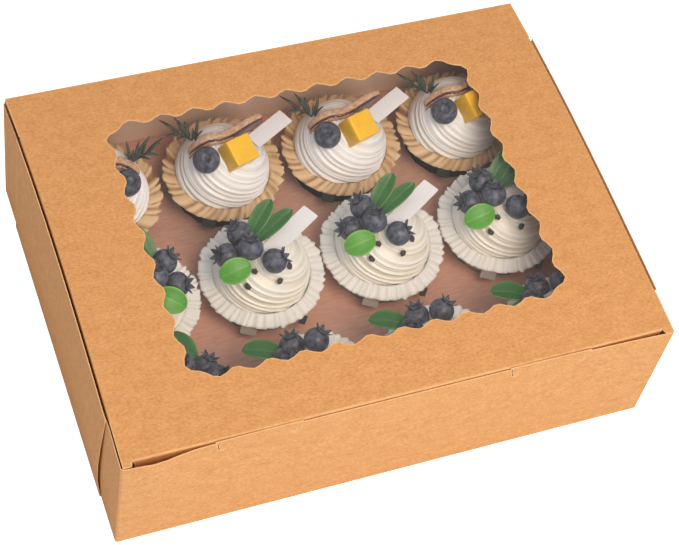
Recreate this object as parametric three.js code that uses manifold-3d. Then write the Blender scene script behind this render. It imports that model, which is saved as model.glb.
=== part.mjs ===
// Windowed bakery carton with a tray of twelve decorated cupcakes.
// Millimetres, +Z up. The origin is the middle of the carton's underside, and the front is at -Y.
import * as THREE from 'three';
import { mergeVertices } from 'three/addons/utils/BufferGeometryUtils.js';
import Module from 'manifold-3d';

const wasm = await Module();
wasm.setup();

// Cupcake tray
const COLUMNS = 4;
const CUP_PITCH = 77;
const CUP_RIM_RADIUS = 38;
const CUP_THROAT_RADIUS = 31;
const CUP_BASE_RADIUS = 25;
const CUP_HEIGHT = 44;
const COLLAR_RISE = 2.5;
const CUP_PAPER = 0.5;
const PLEATS = 12;
const PLEAT_DEPTH = 1.5;
const CAKE_HEIGHT = 42.5;
const COLUMN_SHIFT = -1.9;
const FRONT_ROW_SHIFT = 8;
const FRONT_ROW_DROP = 8.5;
const TRAY_HEIGHT = 23;
const TRAY_CARD = 0.6;

// Toppings
const CREAM_RADIUS = 30.5;
const CREAM_HEIGHT = 30;
const CREAM_RIDGES = 7;
const RIDGE_DEPTH = 2.2;
const CREAM_TURN = 0.9;
const BERRY_RADIUS = 7.5;
const BIG_BERRY_RADIUS = 8.5;
const BERRY_SINK = 0.38;
const BERRY_PLACES = [[-12.4, 12.6], [-22.7, 2.6], [-10.3, -1.5], [0.8, -12.8]];
const FRONT_BERRY_PLACES = [[-12, 23], [-20, 13], [0, 18]];
const BIG_BERRY_PLACE = [-15.7, -10];
const MANGO_SIDE = 17;
const CRUST_RADIUS = 34;
const CRUST_THICKNESS = 4;
const CRUST_HEIGHT = 9;
const CRUST_ANGLE = 70;
const TAG_LENGTH = 40;
const FRUIT_TAG_LENGTH = 28;
const TAG_WIDTH = 11;
const TAG_CARD = 0.5;
const LEAF_THICKNESS = 0.8;

// Carton
const BOARD = 0.5;
const SIDE_ROOM = 11.5;
const END_ROOM = 11;
const HEADROOM = 4.6;
const FIT = 0.3;
const FOLD_RADIUS = 1;
const CORNER_RADIUS = 1.5;
const SIDE_PANEL_END = 30;
const CORNER_FLAP = 51;
const LID_FRONT_INSET = 3;
const LIP_LENGTH = 6.5;
const TUCK_DEPTH = 25;
const TUCK_LEAN = 2.4;
const DUST_FLAP_DEPTH = 30;
const DUST_FLAP_LEAN = 2;
const WALL_DROP = 1.4;
const BACK_FLAP_DROP = 4;

// Front lock tabs, and the slits that free their sides
const TAB_SPACING = 173;
const TAB_WIDTH = 46;
const SLIT_DEPTH = 9;
const SLIT_WIDTH = 0.5;

// Window and its film
const WINDOW_LENGTH = 230;
const WINDOW_WIDTH = 179.5;
const WINDOW_SHIFT_X = 1;
const WINDOW_SHIFT_Y = 3.8;
const WINDOW_CORNER = 12;
const SCALLOP_PITCH = 19.6;
const SCALLOP_HEIGHT = 4;
const SCALLOP_STEPS = 5;
const FILM = 0.2;
const FILM_MARGIN = 10;

// Warp of the carton as it stands: its long sides sway to the right, the front wall is drawn in
// between its tabs and gapes beside the left one, and one side panel stands off its corner flap.
const SWAY = 2.5;
const FRONT_PULL = 2.1;
const FRONT_GAPE = 2.4;
const GAPE_FROM_CORNER = 21;
const GAPE_WIDTH = 14;
const PANEL_STANDOFF = 1.3;

// Sizes worked out from those above
const floorTop = BOARD + FIT;
const cakeTop = floorTop + CUP_PAPER + FIT + CAKE_HEIGHT;
const creamBase = cakeTop + FIT;
const berryTops = BERRY_PLACES.map((place) => berryHeight(BERRY_RADIUS, place) + BERRY_RADIUS);
const toppingTop = creamBase + Math.max(...berryTops);
const filmBase = toppingTop + HEADROOM;
const boxHeight = filmBase + FILM + FIT + BOARD;
const boxLength = (COLUMNS - 1) * CUP_PITCH + 2 * (CUP_RIM_RADIUS + SIDE_ROOM);
const boxWidth = 2 * CUP_PITCH + 2 * (CUP_RIM_RADIUS + END_ROOM);
const halfLength = boxLength / 2;
const halfWidth = boxWidth / 2;

const kraft = { color: 0xc98f56, roughness: 0.85, metalness: 0 };
const finishes = {
  carton: kraft,
  tray: { color: 0xa97862, roughness: 0.9, metalness: 0 },
  film: { color: 0xdfe6ea, roughness: 0.08, metalness: 0, transparent: true, opacity: 0.25 },
  kraftCup: { color: 0xb98a5c, roughness: 0.9, metalness: 0 },
  whiteCup: { color: 0xe6e2da, roughness: 0.9, metalness: 0 },
  sponge: { color: 0xd9a860, roughness: 0.95, metalness: 0 },
  cream: { color: 0xf1ebe0, roughness: 0.45, metalness: 0 },
  mango: { color: 0xf0b21c, roughness: 0.3, metalness: 0 },
  crust: { color: 0xa9744a, roughness: 0.8, metalness: 0 },
  tag: { color: 0xe9e6e3, roughness: 0.7, metalness: 0 },
};

// Turns a closed geometry into a solid that can be joined and cut.
function toSolid(geometry) {
  const bare = geometry.clone();
  for (const name of Object.keys(bare.attributes)) {
    if (name !== 'position') bare.deleteAttribute(name);
  }
  const merged = mergeVertices(bare, 1e-4);
  const corners = merged.index.array;
  const kept = [];
  for (let i = 0; i < corners.length; i += 3) {
    const [a, b, c] = [corners[i], corners[i + 1], corners[i + 2]];
    if (a !== b && b !== c && c !== a) kept.push(a, b, c);
  }
  return new wasm.Manifold(new wasm.Mesh({
    numProp: 3,
    vertProperties: new Float32Array(merged.attributes.position.array),
    triVerts: new Uint32Array(kept),
  }));
}

function toGeometry(solid) {
  const { vertProperties, triVerts } = solid.getMesh();
  const geometry = new THREE.BufferGeometry();
  geometry.setAttribute('position', new THREE.BufferAttribute(new Float32Array(vertProperties), 3));
  geometry.setIndex(new THREE.BufferAttribute(new Uint32Array(triVerts), 1));
  geometry.computeVertexNormals();
  return geometry;
}

function positions(places) {
  return new THREE.Float32BufferAttribute(places.flatMap((place) => place.toArray()), 3);
}

// A sheet of board described by its outer face, then given its thickness on the inner side.
class FoldedSheet {
  constructor() {
    this.points = [];
    this.faces = [];
    this.known = new Map();
  }

  point([x, y, z]) {
    const key = [x, y, z].map((value) => Math.round(value * 1e4)).join(' ');
    if (!this.known.has(key)) {
      this.known.set(key, this.points.length);
      this.points.push(new THREE.Vector3(x, y, z));
    }
    return this.known.get(key);
  }

  face(a, b, c) {
    const corners = [a, b, c].map((place) => this.point(place));
    if (new Set(corners).size === 3) this.faces.push(corners);
  }

  // Rows of places, bottom row first, each running the same way round the outer face.
  grid(rows) {
    for (let i = 0; i + 1 < rows.length; i += 1) {
      for (let j = 0; j + 1 < rows[i].length; j += 1) {
        this.face(rows[i][j], rows[i][j + 1], rows[i + 1][j + 1]);
        this.face(rows[i][j], rows[i + 1][j + 1], rows[i + 1][j]);
      }
    }
  }

  // A flat panel at one height, with the outline anticlockwise from above and the holes clockwise.
  panel(outline, holes, z, facing) {
    const plan = (places) => places.map(([x, y]) => new THREE.Vector2(x, y));
    const all = [outline, ...holes].flat();
    for (const corners of THREE.ShapeUtils.triangulateShape(plan(outline), holes.map(plan))) {
      const [a, b, c] = corners.map((i) => [all[i][0], all[i][1], z]);
      if (facing > 0) this.face(a, b, c);
      else this.face(a, c, b);
    }
  }

  // The way that each point moves to lie one unit inside every face that meets there.
  inwardSteps() {
    const facings = this.points.map(() => []);
    for (const corners of this.faces) {
      const [a, b, c] = corners.map((i) => this.points[i]);
      const normal = b.clone().sub(a).cross(c.clone().sub(a)).normalize();
      for (const i of corners) {
        if (!facings[i].some((other) => other.dot(normal) > 0.995)) facings[i].push(normal);
      }
    }
    return facings.map((normals) => {
      const mean = normals.reduce((sum, normal) => sum.add(normal), new THREE.Vector3()).normalize();
      const reach = normals.reduce((sum, normal) => sum + mean.dot(normal), 0) / normals.length;
      return mean.multiplyScalar(-1 / reach);
    });
  }

  thicken(thickness) {
    const steps = this.inwardSteps();
    const count = this.points.length;
    const inner = this.points.map((point, i) => point.clone().addScaledVector(steps[i], thickness));
    const places = [...this.points, ...inner];
    const triangles = [];
    const edges = new Set();
    for (const [a, b, c] of this.faces) {
      triangles.push(a, b, c, a + count, c + count, b + count);
      edges.add(`${a} ${b}`).add(`${b} ${c}`).add(`${c} ${a}`);
    }
    for (const edge of edges) {
      const [a, b] = edge.split(' ').map(Number);
      if (!edges.has(`${b} ${a}`)) {
        triangles.push(a, a + count, b + count, a, b + count, b);
      }
    }
    const geometry = new THREE.BufferGeometry();
    geometry.setAttribute('position', positions(places));
    geometry.setIndex(triangles);
    geometry.computeVertexNormals();
    return geometry;
  }
}

function span(start, end, steps) {
  return Array.from({ length: steps + 1 }, (_, i) => start + (end - start) * i / steps);
}

// Sway of the long sides, nothing at both ends and strongest a little behind the middle.
function sway(y) {
  const share = THREE.MathUtils.clamp((halfWidth - y) / boxWidth, 0, 1);
  return SWAY * Math.sin(Math.PI * share ** 0.8);
}

// How far the front wall's top is drawn in, less where it gapes.
function frontDraw(x) {
  const pull = FRONT_PULL * (1 - Math.abs(x / halfLength) ** 4);
  const away = (x + halfLength - GAPE_FROM_CORNER) / GAPE_WIDTH;
  return pull - FRONT_GAPE * Math.exp(-away * away);
}

// Where the layers at the carton's sides lie, from the outside in
const cornerFlapFace = halfLength - BOARD - FIT;
const dustFlapFace = cornerFlapFace - BOARD - 2 * FIT;
const sidePanelHalf = halfWidth - SIDE_PANEL_END;
const wallTop = boxHeight - WALL_DROP;
const backWallTop = boxHeight - BOARD - FIT;
const straightEnd = cornerFlapFace - CORNER_RADIUS;
const flapChamfer = 8;
const arcSteps = 3;

// The columns of one end wall and its two corner flaps, from the free edge of the first flap
// round to that of the second. Side is -1 for the front wall and 1 for the back wall.
function endWallColumns(side, top, flapTop) {
  const straight = side < 0
    ? [...span(-straightEnd, -halfLength + 50, 6), ...span(-110, 110, 8), ...span(130, straightEnd, 3)]
    : span(-straightEnd, straightEnd, 6);
  const draw = side < 0 ? frontDraw : () => 0;
  const columns = straight.map((x) => ({
    x, y: side * halfWidth, low: 0, high: top(x), lean: [0, -side * draw(x)],
  }));
  const corner = (hand) => {
    const turn = [];
    for (let step = 1; step <= arcSteps; step += 1) {
      const angle = Math.PI / 2 * step / arcSteps;
      const x = hand * (straightEnd + CORNER_RADIUS * Math.sin(angle));
      const y = side * (halfWidth - CORNER_RADIUS * (1 - Math.cos(angle)));
      turn.push({ x, y, low: 0, high: flapTop, lean: [0, 0] });
    }
    for (const [inset, low, high] of [
      [SIDE_PANEL_END - 3, 0, flapTop],
      [CORNER_FLAP, flapChamfer, flapTop - flapChamfer],
    ]) {
      const y = side * (halfWidth - inset);
      turn.push({ x: hand * cornerFlapFace, y, low, high, lean: [sway(y), 0] });
    }
    return turn;
  };
  const left = corner(-1).reverse();
  const right = corner(1);
  const round = [...left, ...columns, ...right];
  return side < 0 ? round : round.reverse();
}

function columnRows(columns, levels) {
  return levels.map((level) => columns.map(({ x, y, low, high, lean }) => {
    const z = low + (high - low) * level;
    return [x + lean[0] * z / boxHeight, y + lean[1] * z / boxHeight, z];
  }));
}

// One side panel. The left one stands off its front corner flap, low down.
function sidePanelRows(hand, top) {
  const standoff = hand < 0 ? PANEL_STANDOFF : 0;
  const levels = [0, 0.15, 0.35, 0.6, 0.8, 1];
  const places = span(0, 1, 8).map((share) => share ** 1.3);
  return levels.map((level) => {
    const z = top * level;
    const bulge = Math.sin(Math.PI * level ** 0.6);
    const front = -sidePanelHalf + (hand < 0 ? 4 * bulge : 0);
    const row = places.map((share) => {
      const y = front + (sidePanelHalf - front) * share;
      const flare = standoff * bulge * (1 - share) ** 6;
      return [hand * (halfLength + flare) + sway(y) * z / boxHeight, y, z];
    });
    return hand < 0 ? row.reverse() : row;
  });
}

// A thin S-shaped slit beside a lock tab, hooked under the tab. Hand points away from the tab.
function slitShape(x, hand) {
  const path = new THREE.CatmullRomCurve3([
    [3.6, 0.4], [1.4, -0.4], [0.2, -2.4], [-0.3, -6.4], [-1.6, -8.6], [-4, -7.8],
  ].map(([across, up]) => new THREE.Vector3(x + hand * across, wallTop + up * SLIT_DEPTH / 9, 0)));
  const left = [];
  const right = [];
  for (const share of span(0, 1, 10)) {
    const place = path.getPoint(share);
    const along = path.getTangent(share);
    left.push(new THREE.Vector2(place.x - along.y * SLIT_WIDTH / 2, place.y + along.x * SLIT_WIDTH / 2));
    right.push(new THREE.Vector2(place.x + along.y * SLIT_WIDTH / 2, place.y - along.x * SLIT_WIDTH / 2));
  }
  return new THREE.Shape([...left, ...right.reverse()]);
}

// Cuts a shape drawn on the front wall, x across and z up, right through that wall.
function frontCutter(shape) {
  const depth = 4 * (FRONT_PULL + FRONT_GAPE);
  const geometry = new THREE.ExtrudeGeometry(shape, { depth, bevelEnabled: false });
  geometry.rotateX(Math.PI / 2);
  geometry.translate(0, -halfWidth + depth / 2, 0);
  return toSolid(geometry);
}

// The front wall's top edge lies below the lid's fold, apart from the two lock tabs.
function frontCutters() {
  const tabSides = [-1, 1].map((hand) => {
    const middle = hand * TAB_SPACING / 2;
    return [middle - TAB_WIDTH / 2, middle + TAB_WIDTH / 2];
  });
  const past = halfLength + 5;
  const runs = [
    [-past, tabSides[0][0] - 2],
    [tabSides[0][1] + 2, tabSides[1][0] - 2],
    [tabSides[1][1] + 2, past],
  ];
  const cutters = runs.map(([from, to]) => frontCutter(new THREE.Shape([
    new THREE.Vector2(from, wallTop),
    new THREE.Vector2(to, wallTop),
    new THREE.Vector2(to, boxHeight + 5),
    new THREE.Vector2(from, boxHeight + 5),
  ])));
  for (const [low, high] of tabSides) {
    cutters.push(frontCutter(slitShape(low, -1)), frontCutter(slitShape(high, 1)));
  }
  return cutters;
}

// Bottom, four walls and four corner flaps, folded from one blank.
function cartonBase() {
  const sheet = new FoldedSheet();
  const frontTop = (x) => (Math.abs(x) < halfLength - 20 ? boxHeight : wallTop);
  const front = endWallColumns(-1, frontTop, wallTop);
  const back = endWallColumns(1, () => backWallTop, boxHeight - BACK_FLAP_DROP);
  const frontRows = columnRows(front, [0, 0.5, 1]);
  const backRows = columnRows(back, [0, 0.5, 1]);
  sheet.grid(frontRows);
  sheet.grid(backRows);
  const left = sidePanelRows(-1, backWallTop);
  const right = sidePanelRows(1, backWallTop);
  sheet.grid(left);
  sheet.grid(right);
  const straight = (row, side) => row.filter(([x, y]) => Math.abs(x) <= straightEnd + 1e-6
    && Math.abs(y - side * halfWidth) < 1e-6);
  const notch = (x, y) => [Math.sign(x) * straightEnd, Math.sign(y) * sidePanelHalf];
  const outline = [
    ...straight(frontRows[0], -1),
    notch(1, -1), ...right[0], notch(1, 1),
    ...straight(backRows[0], 1),
    notch(-1, 1), ...left[0], notch(-1, -1),
  ];
  sheet.panel(outline, [], 0, -1);
  return frontCutters().reduce((solid, cutter) => solid.subtract(cutter), toSolid(sheet.thicken(BOARD)));
}

// Scalloped outline of the window, clockwise: a rounded rectangle with an even wave along it,
// its crests in the middle of each side.
function windowOutline() {
  const long = WINDOW_LENGTH / 2 - SCALLOP_HEIGHT / 2;
  const short = WINDOW_WIDTH / 2 - SCALLOP_HEIGHT / 2;
  const sideRun = short - WINDOW_CORNER;
  const cornerRun = WINDOW_CORNER * Math.PI / 2;
  const quarter = sideRun + cornerRun + long - WINDOW_CORNER;
  const waves = Math.round(quarter / SCALLOP_PITCH);
  const steps = waves * SCALLOP_STEPS;
  const places = [];
  for (let i = 0; i < 4 * steps; i += 1) {
    const turn = Math.floor(i / steps);
    const within = turn % 2 ? steps - i % steps : i % steps;
    const run = quarter * within / steps;
    const bend = THREE.MathUtils.clamp(run - sideRun, 0, cornerRun) / WINDOW_CORNER;
    const wave = SCALLOP_HEIGHT / 2 * Math.cos(2 * Math.PI * waves * within / steps);
    const reach = WINDOW_CORNER + wave;
    const x = long - WINDOW_CORNER + reach * Math.cos(bend) - Math.max(0, run - sideRun - cornerRun);
    const y = Math.min(run, sideRun) + reach * Math.sin(bend);
    places.push([
      WINDOW_SHIFT_X + (turn === 0 || turn === 3 ? x : -x),
      WINDOW_SHIFT_Y + (turn < 2 ? y : -y),
    ]);
  }
  return places.reverse();
}

// Lid panel with its window, the tuck flap at the front and a dust flap at each side.
function cartonLid() {
  const sheet = new FoldedSheet();
  const foldTurn = [0, 0.5, 1].map((share) => Math.PI / 2 * share);
  const foldY = -halfWidth + LID_FRONT_INSET;
  const tuckEnd = dustFlapFace - LIP_LENGTH;
  const tuckColumns = span(-tuckEnd, tuckEnd, 4);
  const tuckFoot = (x) => Math.sign(x) * Math.min(Math.abs(x), tuckEnd - 5);
  const tuckRows = [
    tuckColumns.map((x) => [tuckFoot(x), foldY + TUCK_LEAN, boxHeight - TUCK_DEPTH]),
    ...foldTurn.map((angle) => tuckColumns.map((x) => [
      x,
      foldY + FOLD_RADIUS * (1 - Math.cos(angle)),
      boxHeight - FOLD_RADIUS * (1 - Math.sin(angle)),
    ])),
  ];
  sheet.grid(tuckRows);
  const sideEdge = (hand, y, inset) => [hand * (dustFlapFace - inset) + sway(y), y, boxHeight];
  const dustRows = (hand) => {
    const columns = span(-hand * sidePanelHalf, hand * sidePanelHalf, 10);
    const foot = (y) => y * (1 - 12 / sidePanelHalf);
    return [
      columns.map((y) => [
        hand * (dustFlapFace - DUST_FLAP_LEAN) + sway(y), foot(y), boxHeight - DUST_FLAP_DEPTH,
      ]),
      ...foldTurn.map((angle) => columns.map((y) => [
        hand * (dustFlapFace - FOLD_RADIUS * (1 - Math.cos(angle))) + sway(y),
        y,
        boxHeight - FOLD_RADIUS * (1 - Math.sin(angle)),
      ])),
    ];
  };
  const rightRows = dustRows(1);
  const leftRows = dustRows(-1);
  sheet.grid(rightRows);
  sheet.grid(leftRows);
  const lip = (hand) => [
    [hand * (tuckEnd + 1.5), -halfWidth],
    [hand * dustFlapFace, -halfWidth],
    sideEdge(hand, -sidePanelHalf - 1, 0),
  ];
  const rearCorner = (hand) => [sideEdge(hand, sidePanelHalf + 1, 0), [hand * dustFlapFace, halfWidth]];
  const outline = [
    ...tuckRows.at(-1), ...lip(1),
    ...rightRows.at(-1), ...rearCorner(1),
    ...rearCorner(-1).reverse(), ...leftRows.at(-1),
    ...lip(-1).reverse(),
  ];
  sheet.panel(outline, [windowOutline()], boxHeight, 1);
  return sheet.thicken(BOARD);
}

function windowFilm() {
  const film = new THREE.BoxGeometry(WINDOW_LENGTH + 2 * FILM_MARGIN, WINDOW_WIDTH + 2 * FILM_MARGIN, FILM);
  film.translate(WINDOW_SHIFT_X, WINDOW_SHIFT_Y, filmBase + FILM / 2);
  return film;
}

// Where each cupcake stands: the front row is set a little forward and to the right.
const rows = {
  back: { x: COLUMN_SHIFT, y: CUP_PITCH },
  middle: { x: COLUMN_SHIFT, y: 0 },
  front: { x: COLUMN_SHIFT + FRONT_ROW_SHIFT, y: -CUP_PITCH - FRONT_ROW_DROP },
};
const columnPlaces = Array.from({ length: COLUMNS }, (_, i) => (i - (COLUMNS - 1) / 2) * CUP_PITCH);

// Outside of a cup's wall, which leans out as far as the throat, where the collar starts
function cupRadius(height) {
  const share = height / (CUP_HEIGHT - COLLAR_RISE);
  return CUP_BASE_RADIUS + (CUP_THROAT_RADIUS - CUP_BASE_RADIUS) * share;
}

function pleatFold(height) {
  return PLEAT_DEPTH * (height / CUP_HEIGHT) ** 2;
}

// Card tray: a raised deck on four folded-down sides, with a hole for each cup.
function cupTray() {
  const wall = BOARD + 2 * FIT;
  const length = 2 * (cornerFlapFace - wall);
  const width = boxWidth - 2 * wall;
  const base = floorTop;
  const box = (x, y, z) => new THREE.BoxGeometry(x, y, z);
  let tray = toSolid(box(length, width, TRAY_HEIGHT).translate(0, 0, base + TRAY_HEIGHT / 2));
  tray = tray.subtract(toSolid(box(length - 2 * TRAY_CARD, width - 2 * TRAY_CARD, TRAY_HEIGHT)
    .translate(0, 0, base + TRAY_HEIGHT / 2 - TRAY_CARD)));
  const sides = 16;
  const hole = (cupRadius(TRAY_HEIGHT) + FIT) / Math.cos(Math.PI / sides);
  for (const row of Object.values(rows)) {
    for (const x of columnPlaces) {
      const punch = new THREE.CylinderGeometry(hole, hole, 6, sides).rotateX(Math.PI / 2);
      tray = tray.subtract(toSolid(punch.translate(row.x + x, row.y, base + TRAY_HEIGHT)));
    }
  }
  const gap = 2;
  for (const x of [-1, 1]) {
    for (const y of [-1, 1]) {
      const cut = box(gap, gap, TRAY_HEIGHT);
      cut.translate(x * length / 2, y * width / 2, base + TRAY_HEIGHT / 2 - 2);
      tray = tray.subtract(toSolid(cut));
    }
  }
  return tray;
}

// Pleated paper cup: a leaning wall and a flat collar, with pleats that grow from foot to rim.
function paperCup() {
  const sheet = new FoldedSheet();
  const count = 2 * PLEATS;
  const ring = (radius, z) => Array.from({ length: count + 1 }, (_, i) => {
    const angle = 2 * Math.PI * (i % count) / count;
    const reach = radius - (i % 2 ? pleatFold(z) : 0);
    return [reach * Math.cos(angle), reach * Math.sin(angle), z];
  });
  const throat = CUP_HEIGHT - COLLAR_RISE;
  const foot = ring(CUP_BASE_RADIUS, 0);
  sheet.grid([
    foot.map(() => [0, 0, 0]),
    foot,
    ring(CUP_THROAT_RADIUS, throat),
    ring(CUP_RIM_RADIUS, CUP_HEIGHT),
  ]);
  return toSolid(sheet.thicken(CUP_PAPER));
}

// Cake inside the cup, clear of the inner side of its pleats.
function spongeCake() {
  const base = CUP_PAPER + FIT;
  const top = base + CAKE_HEIGHT;
  const radiusAt = (height) => cupRadius(height) - 2 * pleatFold(top) - CUP_PAPER - FIT;
  return toSolid(new THREE.LatheGeometry([
    new THREE.Vector2(0, base),
    new THREE.Vector2(radiusAt(base), base),
    new THREE.Vector2(radiusAt(top - 3), top - 3),
    new THREE.Vector2(radiusAt(top - 3) - 1, top),
    new THREE.Vector2(0, top),
  ], 12).rotateX(Math.PI / 2));
}

// Height of the cream above its foot, at a distance from its middle
function creamRise(distance) {
  const share = Math.min(distance / CREAM_RADIUS, 1);
  return CREAM_HEIGHT * (1 - share * share) ** 0.6;
}

// Piped cream: a dome whose ridges turn as they climb.
function creamSwirl() {
  const sheet = new FoldedSheet();
  const count = 2 * CREAM_RIDGES;
  const shares = [1, 0.93, 0.7, 0.35];
  const ring = (share) => Array.from({ length: count + 1 }, (_, i) => {
    const angle = 2 * Math.PI * ((i % count) / count) + CREAM_TURN * (1 - share);
    const radius = CREAM_RADIUS * share - (i % 2 ? RIDGE_DEPTH * share : 0);
    return [radius * Math.cos(angle), radius * Math.sin(angle), creamRise(CREAM_RADIUS * share)];
  });
  const rings = shares.map(ring);
  sheet.grid([rings[0].map(() => [0, 0, 0]), ...rings, rings[0].map(() => [0, 0, CREAM_HEIGHT])]);
  const geometry = new THREE.BufferGeometry();
  geometry.setAttribute('position', positions(sheet.points));
  geometry.setIndex(sheet.faces.flat());
  return toSolid(geometry);
}

// Height of a berry's middle above the cream's foot, with part of the berry sunk in the cream
function berryHeight(radius, [x, y]) {
  return creamRise(Math.hypot(x, y)) + radius * (1 - BERRY_SINK);
}

function berry(radius, [x, y]) {
  const ball = new THREE.SphereGeometry(radius, 7, 4).rotateX(Math.PI / 2);
  return toSolid(ball.translate(x, y, berryHeight(radius, [x, y])));
}

// A leaf from its root to its tip, both given as places above the cream's foot.
function leaf(root, tip, width) {
  const from = new THREE.Vector3(...root);
  const along = new THREE.Vector3(...tip).sub(from);
  const length = along.length();
  const outline = new THREE.Shape();
  outline.moveTo(0, 0);
  outline.quadraticCurveTo(length * 0.45, -width, length, 0);
  outline.quadraticCurveTo(length * 0.45, width, 0, 0);
  const geometry = new THREE.ExtrudeGeometry(outline, {
    depth: LEAF_THICKNESS, bevelEnabled: false, curveSegments: 3,
  });
  const yaw = Math.atan2(along.y, along.x);
  const pitch = Math.asin(along.z / length);
  geometry.rotateY(-pitch);
  geometry.rotateZ(yaw);
  return toSolid(geometry.translate(from.x, from.y, from.z));
}

// One thin needle of the herb sprig.
function needle(root, tip) {
  const from = new THREE.Vector3(...root);
  const along = new THREE.Vector3(...tip).sub(from);
  const geometry = new THREE.ConeGeometry(1, along.length(), 4).translate(0, along.length() / 2, 0);
  const upright = new THREE.Vector3(0, 1, 0);
  const turn = new THREE.Quaternion().setFromUnitVectors(upright, along.clone().normalize());
  return toSolid(geometry.applyQuaternion(turn).translate(from.x, from.y, from.z));
}

// Card tag, stuck into the cream near its top and reaching out over the rim.
function tagBox(clearance, place) {
  const geometry = new THREE.BoxGeometry(
    place.length + 2 * clearance,
    TAG_WIDTH + 2 * clearance,
    TAG_CARD + 2 * clearance,
  );
  geometry.translate(place.length / 2, 0, 0);
  geometry.rotateY(-place.tilt);
  geometry.rotateZ(place.turn);
  return geometry.translate(place.x, place.y, CREAM_HEIGHT + place.z);
}

function mangoCube(clearance) {
  const side = MANGO_SIDE + 2 * clearance;
  const geometry = new THREE.BoxGeometry(side, side, side);
  geometry.rotateX(0.3);
  geometry.rotateZ(0.14);
  return geometry.translate(5, -9.5, creamRise(11) + MANGO_SIDE * 0.1);
}

// Curved strip of crust across the back of the cream.
function crustStrip(clearance) {
  const half = THREE.MathUtils.degToRad(CRUST_ANGLE) / 2;
  const outer = CRUST_RADIUS + CRUST_THICKNESS / 2 + clearance;
  const inner = CRUST_RADIUS - CRUST_THICKNESS / 2 - clearance;
  const ends = half + clearance / CRUST_RADIUS;
  const shape = new THREE.Shape();
  shape.absarc(0, 0, outer, -ends, ends, false);
  shape.absarc(0, 0, inner, ends, -ends, true);
  const geometry = new THREE.ExtrudeGeometry(shape, {
    depth: CRUST_HEIGHT + 2 * clearance, bevelEnabled: false, curveSegments: 6,
  });
  geometry.translate(-CRUST_RADIUS, 0, -clearance);
  geometry.rotateZ(Math.PI / 2 + 0.2);
  return geometry.translate(-3, 10, CREAM_HEIGHT * 0.72);
}

const plainTagPlace = { x: -1, y: -5, z: -3, turn: 0.55, tilt: 0.05, length: TAG_LENGTH };
const frontTagPlace = { x: 1, y: 3, z: -3, turn: -2.62, tilt: 0.05, length: TAG_LENGTH };
const fruitTagPlace = { x: 17, y: -1, z: -6.5, turn: 0.46, tilt: 0.1, length: FRUIT_TAG_LENGTH };

// Cream with its berries and leaves, slotted for its tag.
function berryCream(places, leaves, tagPlace) {
  const berries = places.map((place) => berry(BERRY_RADIUS, place));
  const whole = [...berries, ...leaves].reduce((solid, piece) => solid.add(piece), creamSwirl());
  return whole.subtract(toSolid(tagBox(FIT, tagPlace)));
}

// Two long leaves behind the berries and a round one before them
function middleCream() {
  return berryCream(BERRY_PLACES, [
    leaf([-9, 8, creamRise(13)], [8, 28, CREAM_HEIGHT + 5], 9),
    leaf([-5, 6.5, creamRise(9)], [19, 21, CREAM_HEIGHT + 4], 9),
    leaf([-12, -3, creamRise(13)], [-28, -12, creamRise(24)], 12),
  ], plainTagPlace);
}

// Two broad leaves spread to the left of the berries
function frontCream() {
  return berryCream(FRONT_BERRY_PLACES, [
    leaf([-16, 17, creamRise(25)], [-41, 27, creamRise(24)], 15),
    leaf([-14, 9, creamRise(18)], [-37, 9, creamRise(24)], 12),
  ], frontTagPlace);
}

// Cream with one berry and a herb sprig, cut for its fruit cube, crust and tag.
function fruitCream() {
  const root = [-20, 8, creamRise(22) - 1];
  const needles = [[-27, 17, 8], [-21, 17, 9], [-12, 14, 8], [-30, 8, 4], [-16, 20, 5]]
    .map(([x, y, rise]) => needle(root, [x, y, CREAM_HEIGHT + rise]));
  const whole = [berry(BIG_BERRY_RADIUS, BIG_BERRY_PLACE), ...needles]
    .reduce((solid, piece) => solid.add(piece), creamSwirl());
  return [mangoCube(FIT), crustStrip(FIT), tagBox(FIT, fruitTagPlace)]
    .reduce((solid, cutter) => solid.subtract(toSolid(cutter)), whole);
}

// The same shape seen in a mirror that stands across X
function mirrored(geometry) {
  const flipped = geometry.clone().scale(-1, 1, 1);
  const corners = flipped.index.array;
  for (let i = 0; i < corners.length; i += 3) {
    [corners[i], corners[i + 1]] = [corners[i + 1], corners[i]];
  }
  flipped.computeVertexNormals();
  return flipped;
}

function part(name, geometry, finish, height) {
  const mesh = new THREE.Mesh(geometry, new THREE.MeshStandardMaterial(finish));
  mesh.name = name;
  mesh.position.z = height;
  return mesh;
}

// The toppings of each row, as geometries by the first word of their nodes' names
function rowToppings() {
  return {
    back: {
      cream: toGeometry(fruitCream()),
      tag: toGeometry(toSolid(tagBox(0, fruitTagPlace))),
      mango: toGeometry(toSolid(mangoCube(0))),
      crust: toGeometry(toSolid(crustStrip(0))),
    },
    middle: {
      cream: toGeometry(middleCream()),
      tag: toGeometry(toSolid(tagBox(0, plainTagPlace))),
    },
    front: {
      cream: toGeometry(frontCream()),
      tag: toGeometry(toSolid(tagBox(0, frontTagPlace))),
    },
  };
}

// The first column is set the other way round from the rest, and turned by its own angles.
const firstColumn = {
  back: { mirror: true, turn: -20 },
  middle: { mirror: true, turn: -30 },
  front: { mirror: false, turn: -58 },
};

// Everything that stands on one place of the tray
function cupcake(row, column, cup, cake, toppings) {
  const label = `${row}_${column + 1}`;
  const { mirror, turn } = column === 0 ? firstColumn[row] : { mirror: false, turn: 0 };
  const group = new THREE.Group();
  group.position.set(rows[row].x + columnPlaces[column], rows[row].y, 0);
  group.rotation.z = THREE.MathUtils.degToRad(turn);
  group.add(
    part(`cup_${label}`, cup, row === 'back' ? finishes.kraftCup : finishes.whiteCup, floorTop),
    part(`sponge_${label}`, cake, finishes.sponge, floorTop),
  );
  for (const [name, geometry] of Object.entries(toppings)) {
    group.add(part(`${name}_${label}`, mirror ? mirrored(geometry) : geometry, finishes[name], creamBase));
  }
  return group;
}

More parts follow.
